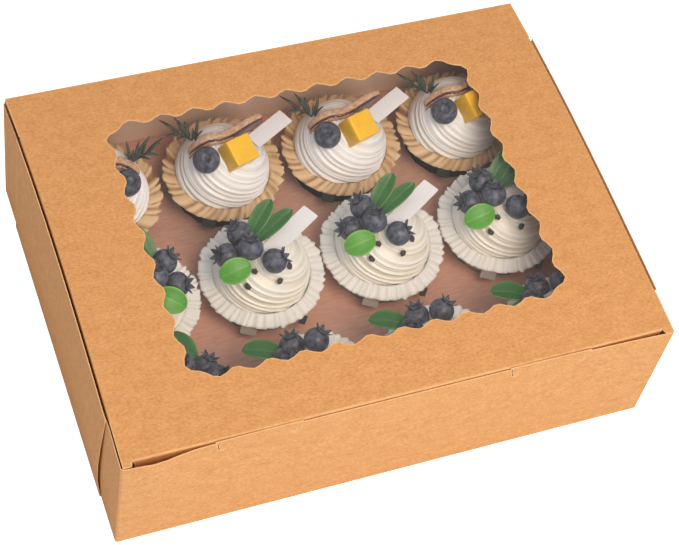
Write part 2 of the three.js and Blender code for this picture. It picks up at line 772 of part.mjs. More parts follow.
function cupcakeBox() {
  const box = new THREE.Group();
  box.add(
    part('carton_base', toGeometry(cartonBase()), finishes.carton, 0),
    part('lid', cartonLid(), finishes.carton, 0),
    part('window_film', windowFilm(), finishes.film, 0),
    part('cup_tray', toGeometry(cupTray()), finishes.tray, 0),
  );
  const cup = toGeometry(paperCup());
  const cake = toGeometry(spongeCake());
  for (const [row, toppings] of Object.entries(rowToppings())) {
    for (let column = 0; column < COLUMNS; column += 1) {
      box.add(cupcake(row, column, cup, cake, toppings));
    }
  }
  return box;
}

export default cupcakeBox();
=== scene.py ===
"""Looks of a windowed bakery carton and its decorated cupcakes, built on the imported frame."""

import logging
import math
from collections.abc import Callable
from dataclasses import dataclass, field
from enum import Enum
from typing import ClassVar

import bpy
from mathutils import Matrix, Vector, noise


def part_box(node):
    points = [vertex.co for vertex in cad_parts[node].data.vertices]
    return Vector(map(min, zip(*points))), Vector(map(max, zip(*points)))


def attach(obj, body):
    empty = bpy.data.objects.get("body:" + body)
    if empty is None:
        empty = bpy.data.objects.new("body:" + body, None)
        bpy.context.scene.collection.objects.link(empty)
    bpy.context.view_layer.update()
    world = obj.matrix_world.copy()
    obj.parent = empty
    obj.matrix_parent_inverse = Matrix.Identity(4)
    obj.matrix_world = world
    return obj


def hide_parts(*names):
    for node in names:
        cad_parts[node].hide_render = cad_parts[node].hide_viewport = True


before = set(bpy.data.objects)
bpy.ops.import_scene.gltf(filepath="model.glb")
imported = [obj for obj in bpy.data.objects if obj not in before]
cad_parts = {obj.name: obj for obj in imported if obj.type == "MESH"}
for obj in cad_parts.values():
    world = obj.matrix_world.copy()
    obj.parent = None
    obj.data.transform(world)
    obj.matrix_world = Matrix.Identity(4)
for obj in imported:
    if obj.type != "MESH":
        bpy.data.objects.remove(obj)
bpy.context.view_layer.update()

log = logging.getLogger("cupcake_box")

MM = 0.001
# Height of the cream's foot over the table, in millimetres
CREAM_FOOT = 44.4
# Cupcakes in a row
COLUMNS = 4

Point = tuple[float, float, float]
Grid = Callable[[float, float], Point]


# Small tools


def linear(hex_colour: str) -> tuple[float, float, float, float]:
    """Turns an sRGB hex colour into the linear colour that a shader socket takes.

    Args:
        hex_colour: Six hex digits after a hash sign.

    Returns:
        Red, green, blue and an alpha of one.
    """
    parts = [int(hex_colour[i:i + 2], 16) / 255 for i in (1, 3, 5)]
    red, green, blue = [
        part / 12.92 if part <= 0.04045 else ((part + 0.055) / 1.055) ** 2.4 for part in parts
    ]
    return (red, green, blue, 1.0)


def add_node(tree: bpy.types.NodeTree, kind: str, settings: dict | None = None,
             links: dict | None = None) -> bpy.types.Node:
    """Adds a node with its settings and its incoming links.

    Args:
        tree: The node tree that takes the node.
        kind: The node's Blender type name.
        settings: Values by property name, or by the name or number of an input socket.
        links: Output sockets by the name or number of the input they feed.

    Returns:
        The new node.
    """
    node = tree.nodes.new(kind)
    for key, value in (settings or {}).items():
        if isinstance(key, str) and hasattr(node, key):
            setattr(node, key, value)
        else:
            node.inputs[key].default_value = value
    for key, output in (links or {}).items():
        tree.links.new(output, node.inputs[key])
    return node


def deselect() -> None:
    """Leaves edit mode and selects nothing."""
    if bpy.context.object and bpy.context.object.mode != "OBJECT":
        bpy.ops.object.mode_set(mode="OBJECT")
    bpy.ops.object.select_all(action="DESELECT")


def take(piece: bpy.types.Object) -> None:
    """Makes one piece the only selected and active one.

    Args:
        piece: The piece to select.
    """
    deselect()
    piece.select_set(True)
    bpy.context.view_layer.objects.active = piece


def edit_all(piece: bpy.types.Object, *steps: Callable[[], object]) -> None:
    """Runs edit-mode steps on a piece, with everything in it selected.

    Args:
        piece: The piece to edit.
        steps: Operators to call in turn.
    """
    take(piece)
    bpy.ops.object.mode_set(mode="EDIT")
    bpy.ops.mesh.select_all(action="SELECT")
    for step in steps:
        step()
    bpy.ops.object.mode_set(mode="OBJECT")


def merge_doubles() -> None:
    """Joins vertices that lie on each other."""
    bpy.ops.mesh.remove_doubles(threshold=2e-6)


def face_outwards() -> None:
    """Turns every selected face outwards."""
    bpy.ops.mesh.normals_make_consistent(inside=False)


def rolled_grid(name: str, across: int, along: int, shape: Grid, closed: bool = True,
                hollow: Callable[[float, float], float] | None = None) -> bpy.types.Object:
    """Lays a primitive grid over a surface given by a function, as a sheet is rolled or draped.

    Args:
        name: The piece's name.
        across: Cells round or across the surface.
        along: Cells from its start to its end.
        shape: Gives a place in millimetres for two shares from 0 to 1.
        closed: Whether its seams and poles close up, so that doubles are merged.
        hollow: Share of the finish's second colour from 0 to 1, kept as an attribute; in folds and furrows
            it is painted shade.

    Returns:
        The new piece, smooth shaded.
    """
    deselect()
    bpy.ops.mesh.primitive_grid_add(x_subdivisions=across, y_subdivisions=along, size=2)
    piece = bpy.context.object
    piece.name = name
    piece.data.name = name
    shade = piece.data.attributes.new("hollow", "FLOAT", "POINT") if hollow else None
    for vertex in piece.data.vertices:
        u, v = (vertex.co.x + 1) / 2, (vertex.co.y + 1) / 2
        if shade:
            shade.data[vertex.index].value = hollow(u, v)
        vertex.co = Vector(shape(u, v)) * MM
    if closed:
        edit_all(piece, merge_doubles, face_outwards)
    take(piece)
    bpy.ops.object.shade_smooth()
    return piece


def cube(name: str, size: float = 1.0) -> bpy.types.Object:
    """Adds a primitive cube at the origin, to be shaped.

    Args:
        name: The piece's name.
        size: Its side, in metres.

    Returns:
        The cube.
    """
    deselect()
    bpy.ops.mesh.primitive_cube_add(size=size)
    piece = bpy.context.object
    piece.name = name
    return piece


def apply_modifier(piece: bpy.types.Object, kind: str, **settings: object) -> None:
    """Adds a modifier to a piece and applies it at once.

    Args:
        piece: The piece that takes it.
        kind: The modifier's Blender type.
        settings: Its settings by property name.
    """
    take(piece)
    modifier = piece.modifiers.new(kind.title(), kind)
    for key, value in settings.items():
        setattr(modifier, key, value)
    bpy.ops.object.modifier_apply(modifier=modifier.name)


def join(name: str, parts: list[bpy.types.Object]) -> bpy.types.Object:
    """Joins parts into the first of them.

    Args:
        name: Name of the joined piece.
        parts: The parts.

    Returns:
        The joined piece.
    """
    deselect()
    for piece in parts:
        piece.select_set(True)
    bpy.context.view_layer.objects.active = parts[0]
    if len(parts) > 1:
        bpy.ops.object.join()
    parts[0].name = name
    parts[0].data.name = name
    return parts[0]


def move(piece: bpy.types.Object, matrix: Matrix) -> bpy.types.Object:
    """Moves a piece's mesh and leaves its object at the origin.

    Args:
        piece: The piece to move.
        matrix: The move, in metres.

    Returns:
        The same piece.
    """
    piece.data.transform(matrix)
    piece.data.update()
    return piece


def copy_to(master: bpy.types.Object, name: str, matrix: Matrix) -> bpy.types.Object:
    """Copies a piece with a mesh of its own and moves that mesh.

    Args:
        master: The piece to copy.
        name: The copy's name.
        matrix: Where the copy's mesh goes, in metres.

    Returns:
        The copy.
    """
    piece = master.copy()
    piece.data = master.data.copy()
    piece.name = name
    piece.data.name = name
    bpy.context.scene.collection.objects.link(piece)
    return move(piece, matrix)


def aim(direction: Point, place: Point, turn: float = 0.0) -> Matrix:
    """Gives the matrix that points +Z along a direction.

    Args:
        direction: Where +Z points.
        place: Where the origin goes, in millimetres.
        turn: Turn about +Z beforehand, in radians.

    Returns:
        The matrix, in metres.
    """
    pointed = Vector(direction).to_track_quat("Z", "Y").to_matrix().to_4x4()
    return Matrix.Translation(Vector(place) * MM) @ pointed @ Matrix.Rotation(turn, 4, "Z")


def dress(piece: bpy.types.Object, *materials: bpy.types.Material) -> bpy.types.Object:
    """Puts materials on a piece in place of those that it has.

    Args:
        piece: The piece to dress.
        materials: One for each material number of its faces.

    Returns:
        The same piece.
    """
    places = [polygon.material_index for polygon in piece.data.polygons]
    piece.data.materials.clear()
    for material in materials:
        piece.data.materials.append(material)
    for polygon, place in zip(piece.data.polygons, places):
        polygon.material_index = min(place, len(materials) - 1)
    return piece


def settle(piece: bpy.types.Object, body: str, slot: str, *nodes: str) -> None:
    """Rides a finished piece on its body.

    Args:
        piece: The finished piece.
        body: The body that carries it.
        slot: Its material slot; not used.
        nodes: CAD nodes that it stands for.
    """
    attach(piece, body)
    if nodes:
        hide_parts(*nodes)


# Finishes


@dataclass(frozen=True)
class Finish:
    """A surface finish: one colour broken up by a fine grain and a broad cloud.

    Attributes:
        name: What the real material is.
        colour: Main colour.
        dark: Colour of the darker grains.
        roughness: Roughness of the surface.
        grain: Grain spacing in millimetres.
        cloud: Spacing of the broad variation in millimetres.
        contrast: Share of the dark colour in the grain.
        bump: Depth of the grain in millimetres.
        stretch: How much longer the grain is along each axis.
        coat: Weight of a clear wet or waxy layer.
        alpha: Opacity.
        specular: Specular level.
        soft: Weight of the light that passes through the surface.
    """

    name: str
    colour: str
    dark: str
    roughness: float = 0.6
    grain: float = 1.0
    cloud: float = 25.0
    contrast: float = 0.5
    bump: float = 0.05
    stretch: Point = (1.0, 1.0, 1.0)
    coat: float = 0.0
    alpha: float = 1.0
    specular: float = 0.5
    soft: float = 0.0

    def pattern(self, tree: bpy.types.NodeTree, coordinates: bpy.types.NodeSocket,
                spacing: float, detail: float = 3.0) -> bpy.types.NodeSocket:
        """Adds a noise pattern that is stretched as the grain is.

        Args:
            tree: The material's node tree.
            coordinates: Object coordinates.
            spacing: Spacing of the pattern, in millimetres.
            detail: Levels of finer noise.

        Returns:
            The pattern's value.
        """
        scale = tuple(1 / (spacing * MM * part) for part in self.stretch)
        mapping = add_node(tree, "ShaderNodeMapping", {"Scale": scale}, {"Vector": coordinates})
        texture = add_node(tree, "ShaderNodeTexNoise", {"Scale": 1.0, "Detail": detail,
                                                        "Roughness": 0.55},
                           {"Vector": mapping.outputs["Vector"]})
        return texture.outputs["Fac"]

    def colours(self, tree: bpy.types.NodeTree, coordinates: bpy.types.NodeSocket,
                grain: bpy.types.NodeSocket) -> bpy.types.NodeSocket:
        """Mixes the two colours by the grain and the cloud.

        Args:
            tree: The material's node tree.
            coordinates: Object coordinates.
            grain: Value of the grain.

        Returns:
            The surface colour.
        """
        cloud = self.pattern(tree, coordinates, self.cloud, 2.0)
        share = add_node(tree, "ShaderNodeMapRange", {
            "From Min": 0.3, "From Max": 0.75, "To Min": 0.0, "To Max": self.contrast,
        }, {"Value": grain})
        lift = add_node(tree, "ShaderNodeMapRange", {
            "From Min": 0.3, "From Max": 0.7, "To Min": -0.1, "To Max": 0.16,
        }, {"Value": cloud})
        total = add_node(tree, "ShaderNodeMath", {"operation": "ADD", "use_clamp": True},
                         {0: share.outputs["Result"], 1: lift.outputs["Result"]})
        mix = add_node(tree, "ShaderNodeMix", {"data_type": "RGBA", 6: linear(self.colour),
                                               7: linear(self.dark)},
                       {0: total.outputs["Value"]})
        return mix.outputs[2]

    def material(self) -> bpy.types.Material:
        """Builds the material.

        Returns:
            A material whose patterns read Object coordinates.
        """
        made = bpy.data.materials.new(self.name)
        made.use_nodes = True
        tree = made.node_tree
        shader = tree.nodes["Principled BSDF"]
        for key, value in {
            "Roughness": self.roughness, "Coat Weight": self.coat, "Coat Roughness": 0.15,
            "Alpha": self.alpha, "Specular IOR Level": self.specular,
            "Subsurface Weight": self.soft, "Subsurface Scale": 3 * MM,
            "Subsurface Radius": (1.0, 0.9, 0.8),
        }.items():
            shader.inputs[key].default_value = value
        coordinates = add_node(tree, "ShaderNodeTexCoord").outputs["Object"]
        grain = self.pattern(tree, coordinates, self.grain)
        tree.links.new(self.colours(tree, coordinates, grain), shader.inputs["Base Color"])
        if self.bump:
            bump = add_node(tree, "ShaderNodeBump", {"Strength": 0.6, "Distance": self.bump * MM},
                            {"Height": grain})
            tree.links.new(bump.outputs["Normal"], shader.inputs["Normal"])
        return made


@dataclass(frozen=True)
class HollowFinish(Finish):
    """A finish that mixes in a second colour by a hollow share that its piece carries: painted shade in
    folds and furrows, and paler ribs on leaves.

    Attributes:
        deep: The second colour: painted shade on cups, cream and berry crowns, the berries' rings, and
            leaves' paler rib and margin.
    """

    deep: str = "#000000"

    def colours(self, tree: bpy.types.NodeTree, coordinates: bpy.types.NodeSocket,
                grain: bpy.types.NodeSocket) -> bpy.types.NodeSocket:
        """Mixes in the deep colour by the piece's own hollow attribute.

        Args:
            tree: The material's node tree.
            coordinates: Object coordinates.
            grain: Value of the grain.

        Returns:
            The surface colour.
        """
        surface = super().colours(tree, coordinates, grain)
        depth = add_node(tree, "ShaderNodeAttribute", {"attribute_name": "hollow"})
        mix = add_node(tree, "ShaderNodeMix", {"data_type": "RGBA", 7: linear(self.deep)},
                       {0: depth.outputs["Fac"], 6: surface})
        return mix.outputs[2]


@dataclass(frozen=True)
class BoardFinish(Finish):
    """A carton board whose inner side is paler, partly as painted light, with a bare edge where the window
    is cut and a painted highlight along its folds.

    Attributes:
        inner: Colour of the inner side, paler partly as painted light that lifts the shade inside the
            carton.
        edge: Colour of the cut edge, also laid along the folds as a painted highlight.
        middle: Point inside the carton, in metres, that the inner sides face.
        window: Half sizes of the space that the cut edge lies in, in metres.
    """

    inner: str = "#FFFFFF"
    edge: str = "#FFFFFF"
    middle: Point = (0.0, 0.0, 0.045)
    window: tuple[float, float] = (0.14, 0.107)

    def colours(self, tree: bpy.types.NodeTree, coordinates: bpy.types.NodeSocket,
                grain: bpy.types.NodeSocket) -> bpy.types.NodeSocket:
        """Mixes in the inner colour by the way a face looks, the edge colour by its place, and a painted
        fold highlight.

        Args:
            tree: The material's node tree.
            coordinates: Object coordinates.
            grain: Value of the grain.

        Returns:
            The surface colour.
        """
        surface = super().colours(tree, coordinates, grain)
        normal = add_node(tree, "ShaderNodeTexCoord").outputs["Normal"]
        away = add_node(tree, "ShaderNodeVectorMath", {"operation": "SUBTRACT", 1: self.middle},
                        {0: coordinates})
        facing = add_node(tree, "ShaderNodeVectorMath", {"operation": "DOT_PRODUCT"},
                          {0: away.outputs["Vector"], 1: normal})
        # The paler inner colour is partly painted light, lifting the shade inside the carton.
        inside = self.below(tree, facing.outputs["Value"], 0.0)
        inner_tone_and_light = add_node(tree, "ShaderNodeMix", {"data_type": "RGBA", 7: linear(self.inner)},
                         {0: inside, 6: surface})
        place = add_node(tree, "ShaderNodeSeparateXYZ", {}, {0: coordinates})
        way = add_node(tree, "ShaderNodeSeparateXYZ", {}, {0: normal})
        share = inside
        for socket, limit in ((place.outputs["X"], self.window[0]),
                              (place.outputs["Y"], self.window[1]), (way.outputs["Z"], 0.5)):
            size = add_node(tree, "ShaderNodeMath", {"operation": "ABSOLUTE"}, {0: socket})
            within = self.below(tree, size.outputs["Value"], limit)
            both = add_node(tree, "ShaderNodeMath", {"operation": "MULTIPLY"},
                            {0: share, 1: within})
            share = both.outputs["Value"]
        mix = add_node(tree, "ShaderNodeMix", {"data_type": "RGBA", 7: linear(self.edge)},
                       {0: share, 6: inner_tone_and_light.outputs[2]})
        # Painted highlight: the pale edge colour laid along every fold and edge.
        fold_highlight = add_node(tree, "ShaderNodeMix", {"data_type": "RGBA", 7: linear(self.edge)},
                          {0: self.corners(tree), 6: mix.outputs[2]})
        return fold_highlight.outputs[2]

    def corners(self, tree: bpy.types.NodeTree) -> bpy.types.NodeSocket:
        """Finds the folds and edges, where the edge colour is painted on as a highlight.

        Args:
            tree: The material's node tree.

        Returns:
            A share that grows towards them.
        """
        true = add_node(tree, "ShaderNodeNewGeometry").outputs["True Normal"]
        rounded = add_node(tree, "ShaderNodeBevel", {"Radius": 1.3 * MM})
        along = add_node(tree, "ShaderNodeVectorMath", {"operation": "DOT_PRODUCT"},
                         {0: rounded.outputs["Normal"], 1: true})
        share = add_node(tree, "ShaderNodeMapRange", {
            "From Min": 0.99, "From Max": 0.8, "To Min": 0.0, "To Max": 0.85,
        }, {"Value": along.outputs["Value"]})
        return share.outputs["Result"]

    def below(self, tree: bpy.types.NodeTree, value: bpy.types.NodeSocket,
              limit: float) -> bpy.types.NodeSocket:
        """Gives 1 where a value is below a limit, and 0 elsewhere."""
        node = add_node(tree, "ShaderNodeMath", {"operation": "LESS_THAN", 1: limit}, {0: value})
        return node.outputs["Value"]


# Unbleached kraft board, calendered: warm tan with short fibres along the machine direction.
# Its inner side is paler, partly as painted light for the shade inside the carton, and so is its cut edge,
# where the fibres stand open.
# The edge colour is also painted along the folds as a highlight.
KRAFT = BoardFinish("kraft_board", "#DEA367", "#B97A43", roughness=0.75, grain=1.1, cloud=6, contrast=0.7,
                    bump=0.02, stretch=(1.8, 1.0, 1.0), specular=0.3, inner="#F7D1B3",
                    edge="#F6CC97")
# Brown card for the tray, rolled: pinkish, with streaks where it was pressed.
TRAY_CARD = Finish("tray_card", "#D6A58F", "#B98671", roughness=0.8, grain=1.6, cloud=30, contrast=0.55,
                   bump=0.03, stretch=(5.0, 1.0, 1.0), specular=0.25)
# Clear polyester film: very smooth, seen by its gloss and a thin pale veil, a painted sheen.
FILM = Finish("clear_film", "#E4E7EA", "#C9CFD4", roughness=0.1, grain=60, cloud=120, contrast=0.4, bump=0,
              alpha=0.02, specular=0.1)
# Greaseproof baking paper, unbleached: pleated, faintly waxy, with painted shade in the pleats' folds.
KRAFT_CUP = HollowFinish("kraft_cup_paper", "#E5C498", "#D1A878", roughness=0.6, grain=1.2, cloud=12,
                         contrast=0.4, bump=0.02, specular=0.35, deep="#8A5A2E")
# Dark green-black, matt: the small tab at the brown cup's rim, and painted shade on the cup's outer wall
# below the collar.
DARK_TAB_AND_WALL_SHADE = Finish("dark_tab_and_wall_shade", "#343B2C", "#20261C", roughness=0.6, grain=1.5, contrast=0.5, specular=0.3)
# Bleached greaseproof paper: off-white, with painted grey shade in its folds.
WHITE_CUP = HollowFinish("white_cup_paper", "#EFEDE8", "#E1DED6", roughness=0.6, grain=1.2, cloud=12,
                         contrast=0.4, bump=0.02, specular=0.35, deep="#B9B4A9")
# Whipped cream, piped: satin and dense, with warm painted shade in its furrows.
CREAM = HollowFinish("whipped_cream", "#FBF9F7", "#F4F0EB", roughness=0.42, grain=2.5, cloud=14,
                     contrast=0.4, bump=0.03, coat=0.15, soft=0.3, deep="#C4B8AB")
# The same cream with vanilla: a little yellower, with painted shade in its furrows too.
VANILLA_CREAM = HollowFinish("vanilla_cream", "#FBF8EF", "#F5F0E2", roughness=0.4, grain=2.5, cloud=12,
                             contrast=0.4, bump=0.03, coat=0.15, soft=0.3, deep="#C9B68C")
# Baked sponge: open crumb, matt.
SPONGE = Finish("sponge_cake", "#DDB06B", "#B98443", roughness=0.95, grain=1.2, contrast=0.8, bump=0.25,
                specular=0.1)
# Blueberry skin: dark, under a pale waxy bloom that is rubbed in places.
# Its deep colour is painted shade at the crown's foot, and darkens the rings round the sunken end.
BERRY = HollowFinish("blueberry_skin", "#1F2028", "#727483", roughness=0.4, grain=3.0, cloud=5,
                     contrast=0.8, bump=0.12, specular=0.45, deep="#1B1C22")
# Waxy evergreen leaf: dark and smooth, paler along its midrib and margin.
LEAF = HollowFinish("dark_leaf", "#30691F", "#224D18", roughness=0.45, grain=1.6, cloud=8, contrast=0.5,
                    bump=0.02, coat=0.06, deep="#6E9A52")
# Young leaf of the same kind: thinner, so bright and yellowish.
YOUNG_LEAF = HollowFinish("young_leaf", "#4F9A0F", "#3E840E", roughness=0.45, grain=1.6, cloud=8,
                          contrast=0.5, bump=0.02, coat=0.06, deep="#8CC25A")
# Herb needles: grey-green, matt underneath.
NEEDLE = Finish("herb_needle", "#454B3C", "#2C3226", roughness=0.6, grain=1.0, contrast=0.6)
# Ripe mango flesh, cut with a knife: moist and bright.
MANGO = Finish("mango_flesh", "#F2BC04", "#E2A204", roughness=0.3, grain=2.4, cloud=9, contrast=0.45,
               bump=0.05, coat=0.2, soft=0.4)
# Baked crust: dry and cracked, browned on its edges.
CRUST = Finish("baked_crust", "#DDB896", "#966B50", roughness=0.85, grain=1.4, cloud=6, contrast=0.85,
               bump=0.3, stretch=(2.2, 1.0, 0.8), specular=0.2)
# Fruit jam between the layers: dark and glossy.
JAM = Finish("fruit_jam", "#5A1C1E", "#2C0E10", roughness=0.25, grain=1.2, contrast=0.6, bump=0.15,
             coat=0.5)
# Dark chocolate shards; the same colour paints the small shadow patch at the white cups' rims.
CHIP_AND_SHADOW = Finish("chocolate_chip_and_shadow", "#3A362F", "#24211C", roughness=0.45, grain=1.0, contrast=0.5, bump=0.05)
# Smooth white card, uncoated.
TAG = Finish("tag_card", "#E6E2E1", "#DAD5D4", roughness=0.6, grain=1.0, cloud=15, contrast=0.3,
             bump=0.01, specular=0.3)
# Small frosted plastic clips at the rims of the white cups.
CLIP = Finish("frosted_clip", "#B5A89F", "#9F938B", roughness=0.4, grain=1.5, contrast=0.4)

FINISHES = (KRAFT, TRAY_CARD, FILM, KRAFT_CUP, DARK_TAB_AND_WALL_SHADE, WHITE_CUP, CREAM, VANILLA_CREAM, SPONGE,
            BERRY, LEAF, YOUNG_LEAF, NEEDLE, MANGO, CRUST, JAM, CHIP_AND_SHADOW, TAG, CLIP)


class Row(Enum):
    """Row of the tray, which settles what stands on its cupcakes."""

    BACK = "back"
    MIDDLE = "middle"
    FRONT = "front"


# The first column stands the other way round from the rest: whether mirrored, and its turn
FIRST_COLUMN = {Row.BACK: (True, -20.0), Row.MIDDLE: (True, -30.0), Row.FRONT: (False, -58.0)}


def smooth_noise(*place: float) -> float:
    """Gives a smooth value from about -1 to 1 at a place in space."""
    return noise.noise(Vector(place))


def dome(distance: float, height: float = 30.0, radius: float = 30.5) -> float:
    """Gives the cream's height above its foot at a distance from its middle."""
    share = min(distance / radius, 1.0)
    return height * (1 - share * share) ** 0.6


# Sub-assemblies


@dataclass
class Swirl:
    """Piped cream whose ridges turn as they climb.

    Attributes:
        radius: Radius of its foot.
        height: Height of its tip.
        ridges: Ridges round it.
        turn: Turns that a ridge makes from foot to tip.
        depth: Depth of the furrows.
        seed: Where its unevenness is read from.
        settle: How far its foot sinks between cake and collar.
        across: Cells round it.
        along: Cells from foot to tip.
    """

    radius: float = 29.2
    height: float = 30.0
    ridges: int = 14
    turn: float = 0.72
    depth: float = 2.2
    seed: float = 1.0
    settle: float = 2.0
    across: int = 288
    along: int = 40

    def furrow(self, u: float, v: float) -> float:
        """Finds how deep the furrows are at a spot.

        Args:
            u: Share round the swirl, followed along its ridges.
            v: Share up it.

        Returns:
            Depth from 0 on a ridge to 1 in a furrow.
        """
        angle = 2 * math.pi * u
        east, north = 1.7 * math.cos(angle), 1.7 * math.sin(angle)
        warp = smooth_noise(east, north, self.seed)
        warp += 0.5 * smooth_noise(east, north, self.seed + 2 * v)
        broad = self.crease(self.ridges * u + 0.9 * warp)
        fine = self.crease(2 * self.ridges * u + 1.5 * warp + 0.4)
        strength = 0.8 + 0.5 * smooth_noise(east + 5, north, self.seed - 2 * v)
        return (0.75 * broad + 0.25 * fine) * min(1.0, max(0.3, strength))

    def crease(self, phase: float, slope: float = 0.72) -> float:
        """Depth between one sharp ridge and the next, from 0 to 1."""
        share = phase % 1
        return 1 - ((share / slope) ** 0.75 if share < slope else (1 - share) / (1 - slope))

    def place(self, u: float, v: float) -> Point:
        """Places a point of the swirl.

        Args:
            u: Share round it.
            v: Share up it.

        Returns:
            The place over its foot, in millimetres.
        """
        if v <= 0:
            return (0.0, 0.0, -self.settle)
        climb = (v - 1 / self.along) / (1 - 1 / self.along)
        angle = 2 * math.pi * (u - self.turn * max(climb, 0.0) ** 0.8)
        share = math.cos(climb * math.pi / 2)
        fade = min(1.0, (1 - climb) * 3.0) * (0.65 + 0.35 * share)
        uneven = smooth_noise(math.cos(angle) * 1.3, math.sin(angle) * 1.3, self.seed)
        coil = abs(math.sin(math.pi * (u + 1.3 * climb))) - 0.5
        inward = (self.depth * self.furrow(u, climb) - 0.9 * coil) * fade + 0.5 * uneven * share
        radius = max(0.0, self.radius * share - inward)
        rise = self.height * max(0.0, 1 - share * share) ** 0.6 - 0.45 * inward * (1 - share)
        rise -= self.settle * max(0.0, 1 - 12 * climb)
        return (radius * math.cos(angle), radius * math.sin(angle), rise)

    def build(self, name: str, material: bpy.types.Material) -> bpy.types.Object:
        """Models and dresses the swirl with its foot at the origin.

        Args:
            name: The piece's name.
            material: Its material.

        Returns:
            The swirl.
        """
        # The hollow share paints shade into the furrows.
        piece = rolled_grid(name, self.across, self.along, self.place,
                            hollow=lambda u, v: 0.75 * self.furrow(u, max(v, 0.02)) ** 1.6)
        return dress(piece, material)


@dataclass
class PaperCup:
    """Pleated baking cup with a leaning wall and a wide ruffled collar.

    Attributes:
        rim: Radius of the collar's rim.
        throat: Radius where the collar starts.
        foot: Radius of its foot.
        height: Height of the rim.
        collar_rise: Height of the collar from throat to rim.
        lean: How far the rim dips towards the front and rises behind.
        pleats: Pleats round the cup.
        depth: Depth of the pleats at the rim.
        ruffle: Rise and fall of the rim.
        skew: Turns by which the pleats lean across the collar.
        shade: How dark the folds are.
        wall: Thickness of the paper.
        seed: Where its unevenness is read from.
    """

    # Way to the front, and the shares of the paper where its floor ends and its collar starts
    FRONT: ClassVar[float] = math.radians(-120.5)
    FLOOR: ClassVar[float] = 0.15
    THROAT: ClassVar[float] = 0.55
    rim: float = 37.9
    throat: float = 28.8
    foot: float = 24.8
    height: float = 43.2
    collar_rise: float = 0.4
    lean: float = 2.5
    pleats: int = 40
    depth: float = 0.9
    ruffle: float = 0.5
    skew: float = 0.0
    # shade: How dark the painted shade in the folds is.
    shade: float = 0.85
    wall: float = 0.3
    seed: float = 0.0

    def fold(self, u: float) -> float:
        """Finds the position in a pleat.

        Args:
            u: Share round the cup.

        Returns:
            From 0 on the pleat's crest to 1 in its fold.
        """
        angle = 2 * math.pi * u
        wobble = 0.9 * smooth_noise(math.cos(angle) * 6, math.sin(angle) * 6, self.seed + 9)
        share = (self.pleats * u + wobble) % 1
        return share / 0.78 if share < 0.78 else (1 - share) / 0.22

    def place(self, u: float, v: float) -> Point:
        """Places a point of the paper's outer face.

        Args:
            u: Share round the cup.
            v: Share from the middle of its floor to its rim.

        Returns:
            The place over its foot, in millimetres.
        """
        angle = 2 * math.pi * u
        throat_height = self.height - self.collar_rise
        if v < self.FLOOR:
            radius, height = self.foot * v / self.FLOOR, 0.0
        elif v < self.THROAT:
            share = (v - self.FLOOR) / (self.THROAT - self.FLOOR)
            radius, height = self.foot + (self.throat - self.foot) * share, throat_height * share
        else:
            share = (v - self.THROAT) / (1 - self.THROAT)
            radius = self.throat + (self.rim - self.throat) * share
            height = throat_height + self.collar_rise * share ** 1.3
            height -= self.lean * math.cos(angle - self.FRONT) * share
        grow = max(0.0, (v - self.FLOOR) / (1 - self.FLOOR)) ** 1.5
        fold = self.fold(u + self.skew * max(0.0, v - self.THROAT))
        uneven = smooth_noise(math.cos(angle) * 2.6, math.sin(angle) * 2.6, self.seed)
        edge = smooth_noise(math.cos(angle) * 12, math.sin(angle) * 12, self.seed)
        edge *= max(0, v - 0.8) * 6
        radius -= (self.depth * fold - 0.9 * uneven - 1.1 * edge) * grow
        height += self.ruffle * (0.5 - fold) * grow * 1.6 + 0.5 * uneven * grow
        return (radius * math.cos(angle), radius * math.sin(angle), height)

    def shadow(self, u: float, v: float) -> float:
        """Gives the painted shade of the fold at a share round the cup and a share up it."""
        return self.shade * self.fold(u + self.skew * (v - self.THROAT)) ** 4

    def build(self, name: str, paper: bpy.types.Material,
              outside: bpy.types.Material) -> bpy.types.Object:
        """Models and dresses the cup with its foot at the origin.

        Args:
            name: The piece's name.
            paper: Material of the inner side and the rim.
            outside: Material of the wall's outer side below the collar.

        Returns:
            The cup.
        """
        piece = rolled_grid(name, 7 * self.pleats, 14, self.place, hollow=self.shadow)
        count = len(piece.data.polygons)
        apply_modifier(piece, "SOLIDIFY", thickness=self.wall * MM, offset=-1)
        # Solidify puts its second shell, here the outside, after the first
        for polygon in piece.data.polygons:
            polygon.material_index = int(count <= polygon.index < 2 * count)
        return dress(piece, paper, outside)


@dataclass
class CupTab:
    """Small bare tab that hangs at a cup's rim.

    Attributes:
        place: Its middle, above the cup's foot.
        width: Its width along the rim.
        height: Its height.
        thickness: Its thickness.
        roll: Turn in its own plane, in radians.
    """

    place: Point
    width: float = 8.0
    height: float = 6.5
    thickness: float = 0.8
    roll: float = 0.0

    def build(self, name: str, material: bpy.types.Material) -> bpy.types.Object:
        """Models and dresses the tab, which faces away from the cup's axis.

        Args:
            name: The piece's name.
            material: Its material.

        Returns:
            The tab.
        """
        piece = cube(name)
        move(piece, Matrix.Rotation(self.roll, 4, "Z")
             @ Matrix.Diagonal((self.width * MM, self.height * MM, self.thickness * MM, 1)))
        apply_modifier(piece, "BEVEL", width=0.3 * MM, segments=2)
        away = (self.place[0], self.place[1], math.hypot(*self.place[:2]) * 0.5)
        return dress(move(piece, aim(away, self.place)), material)


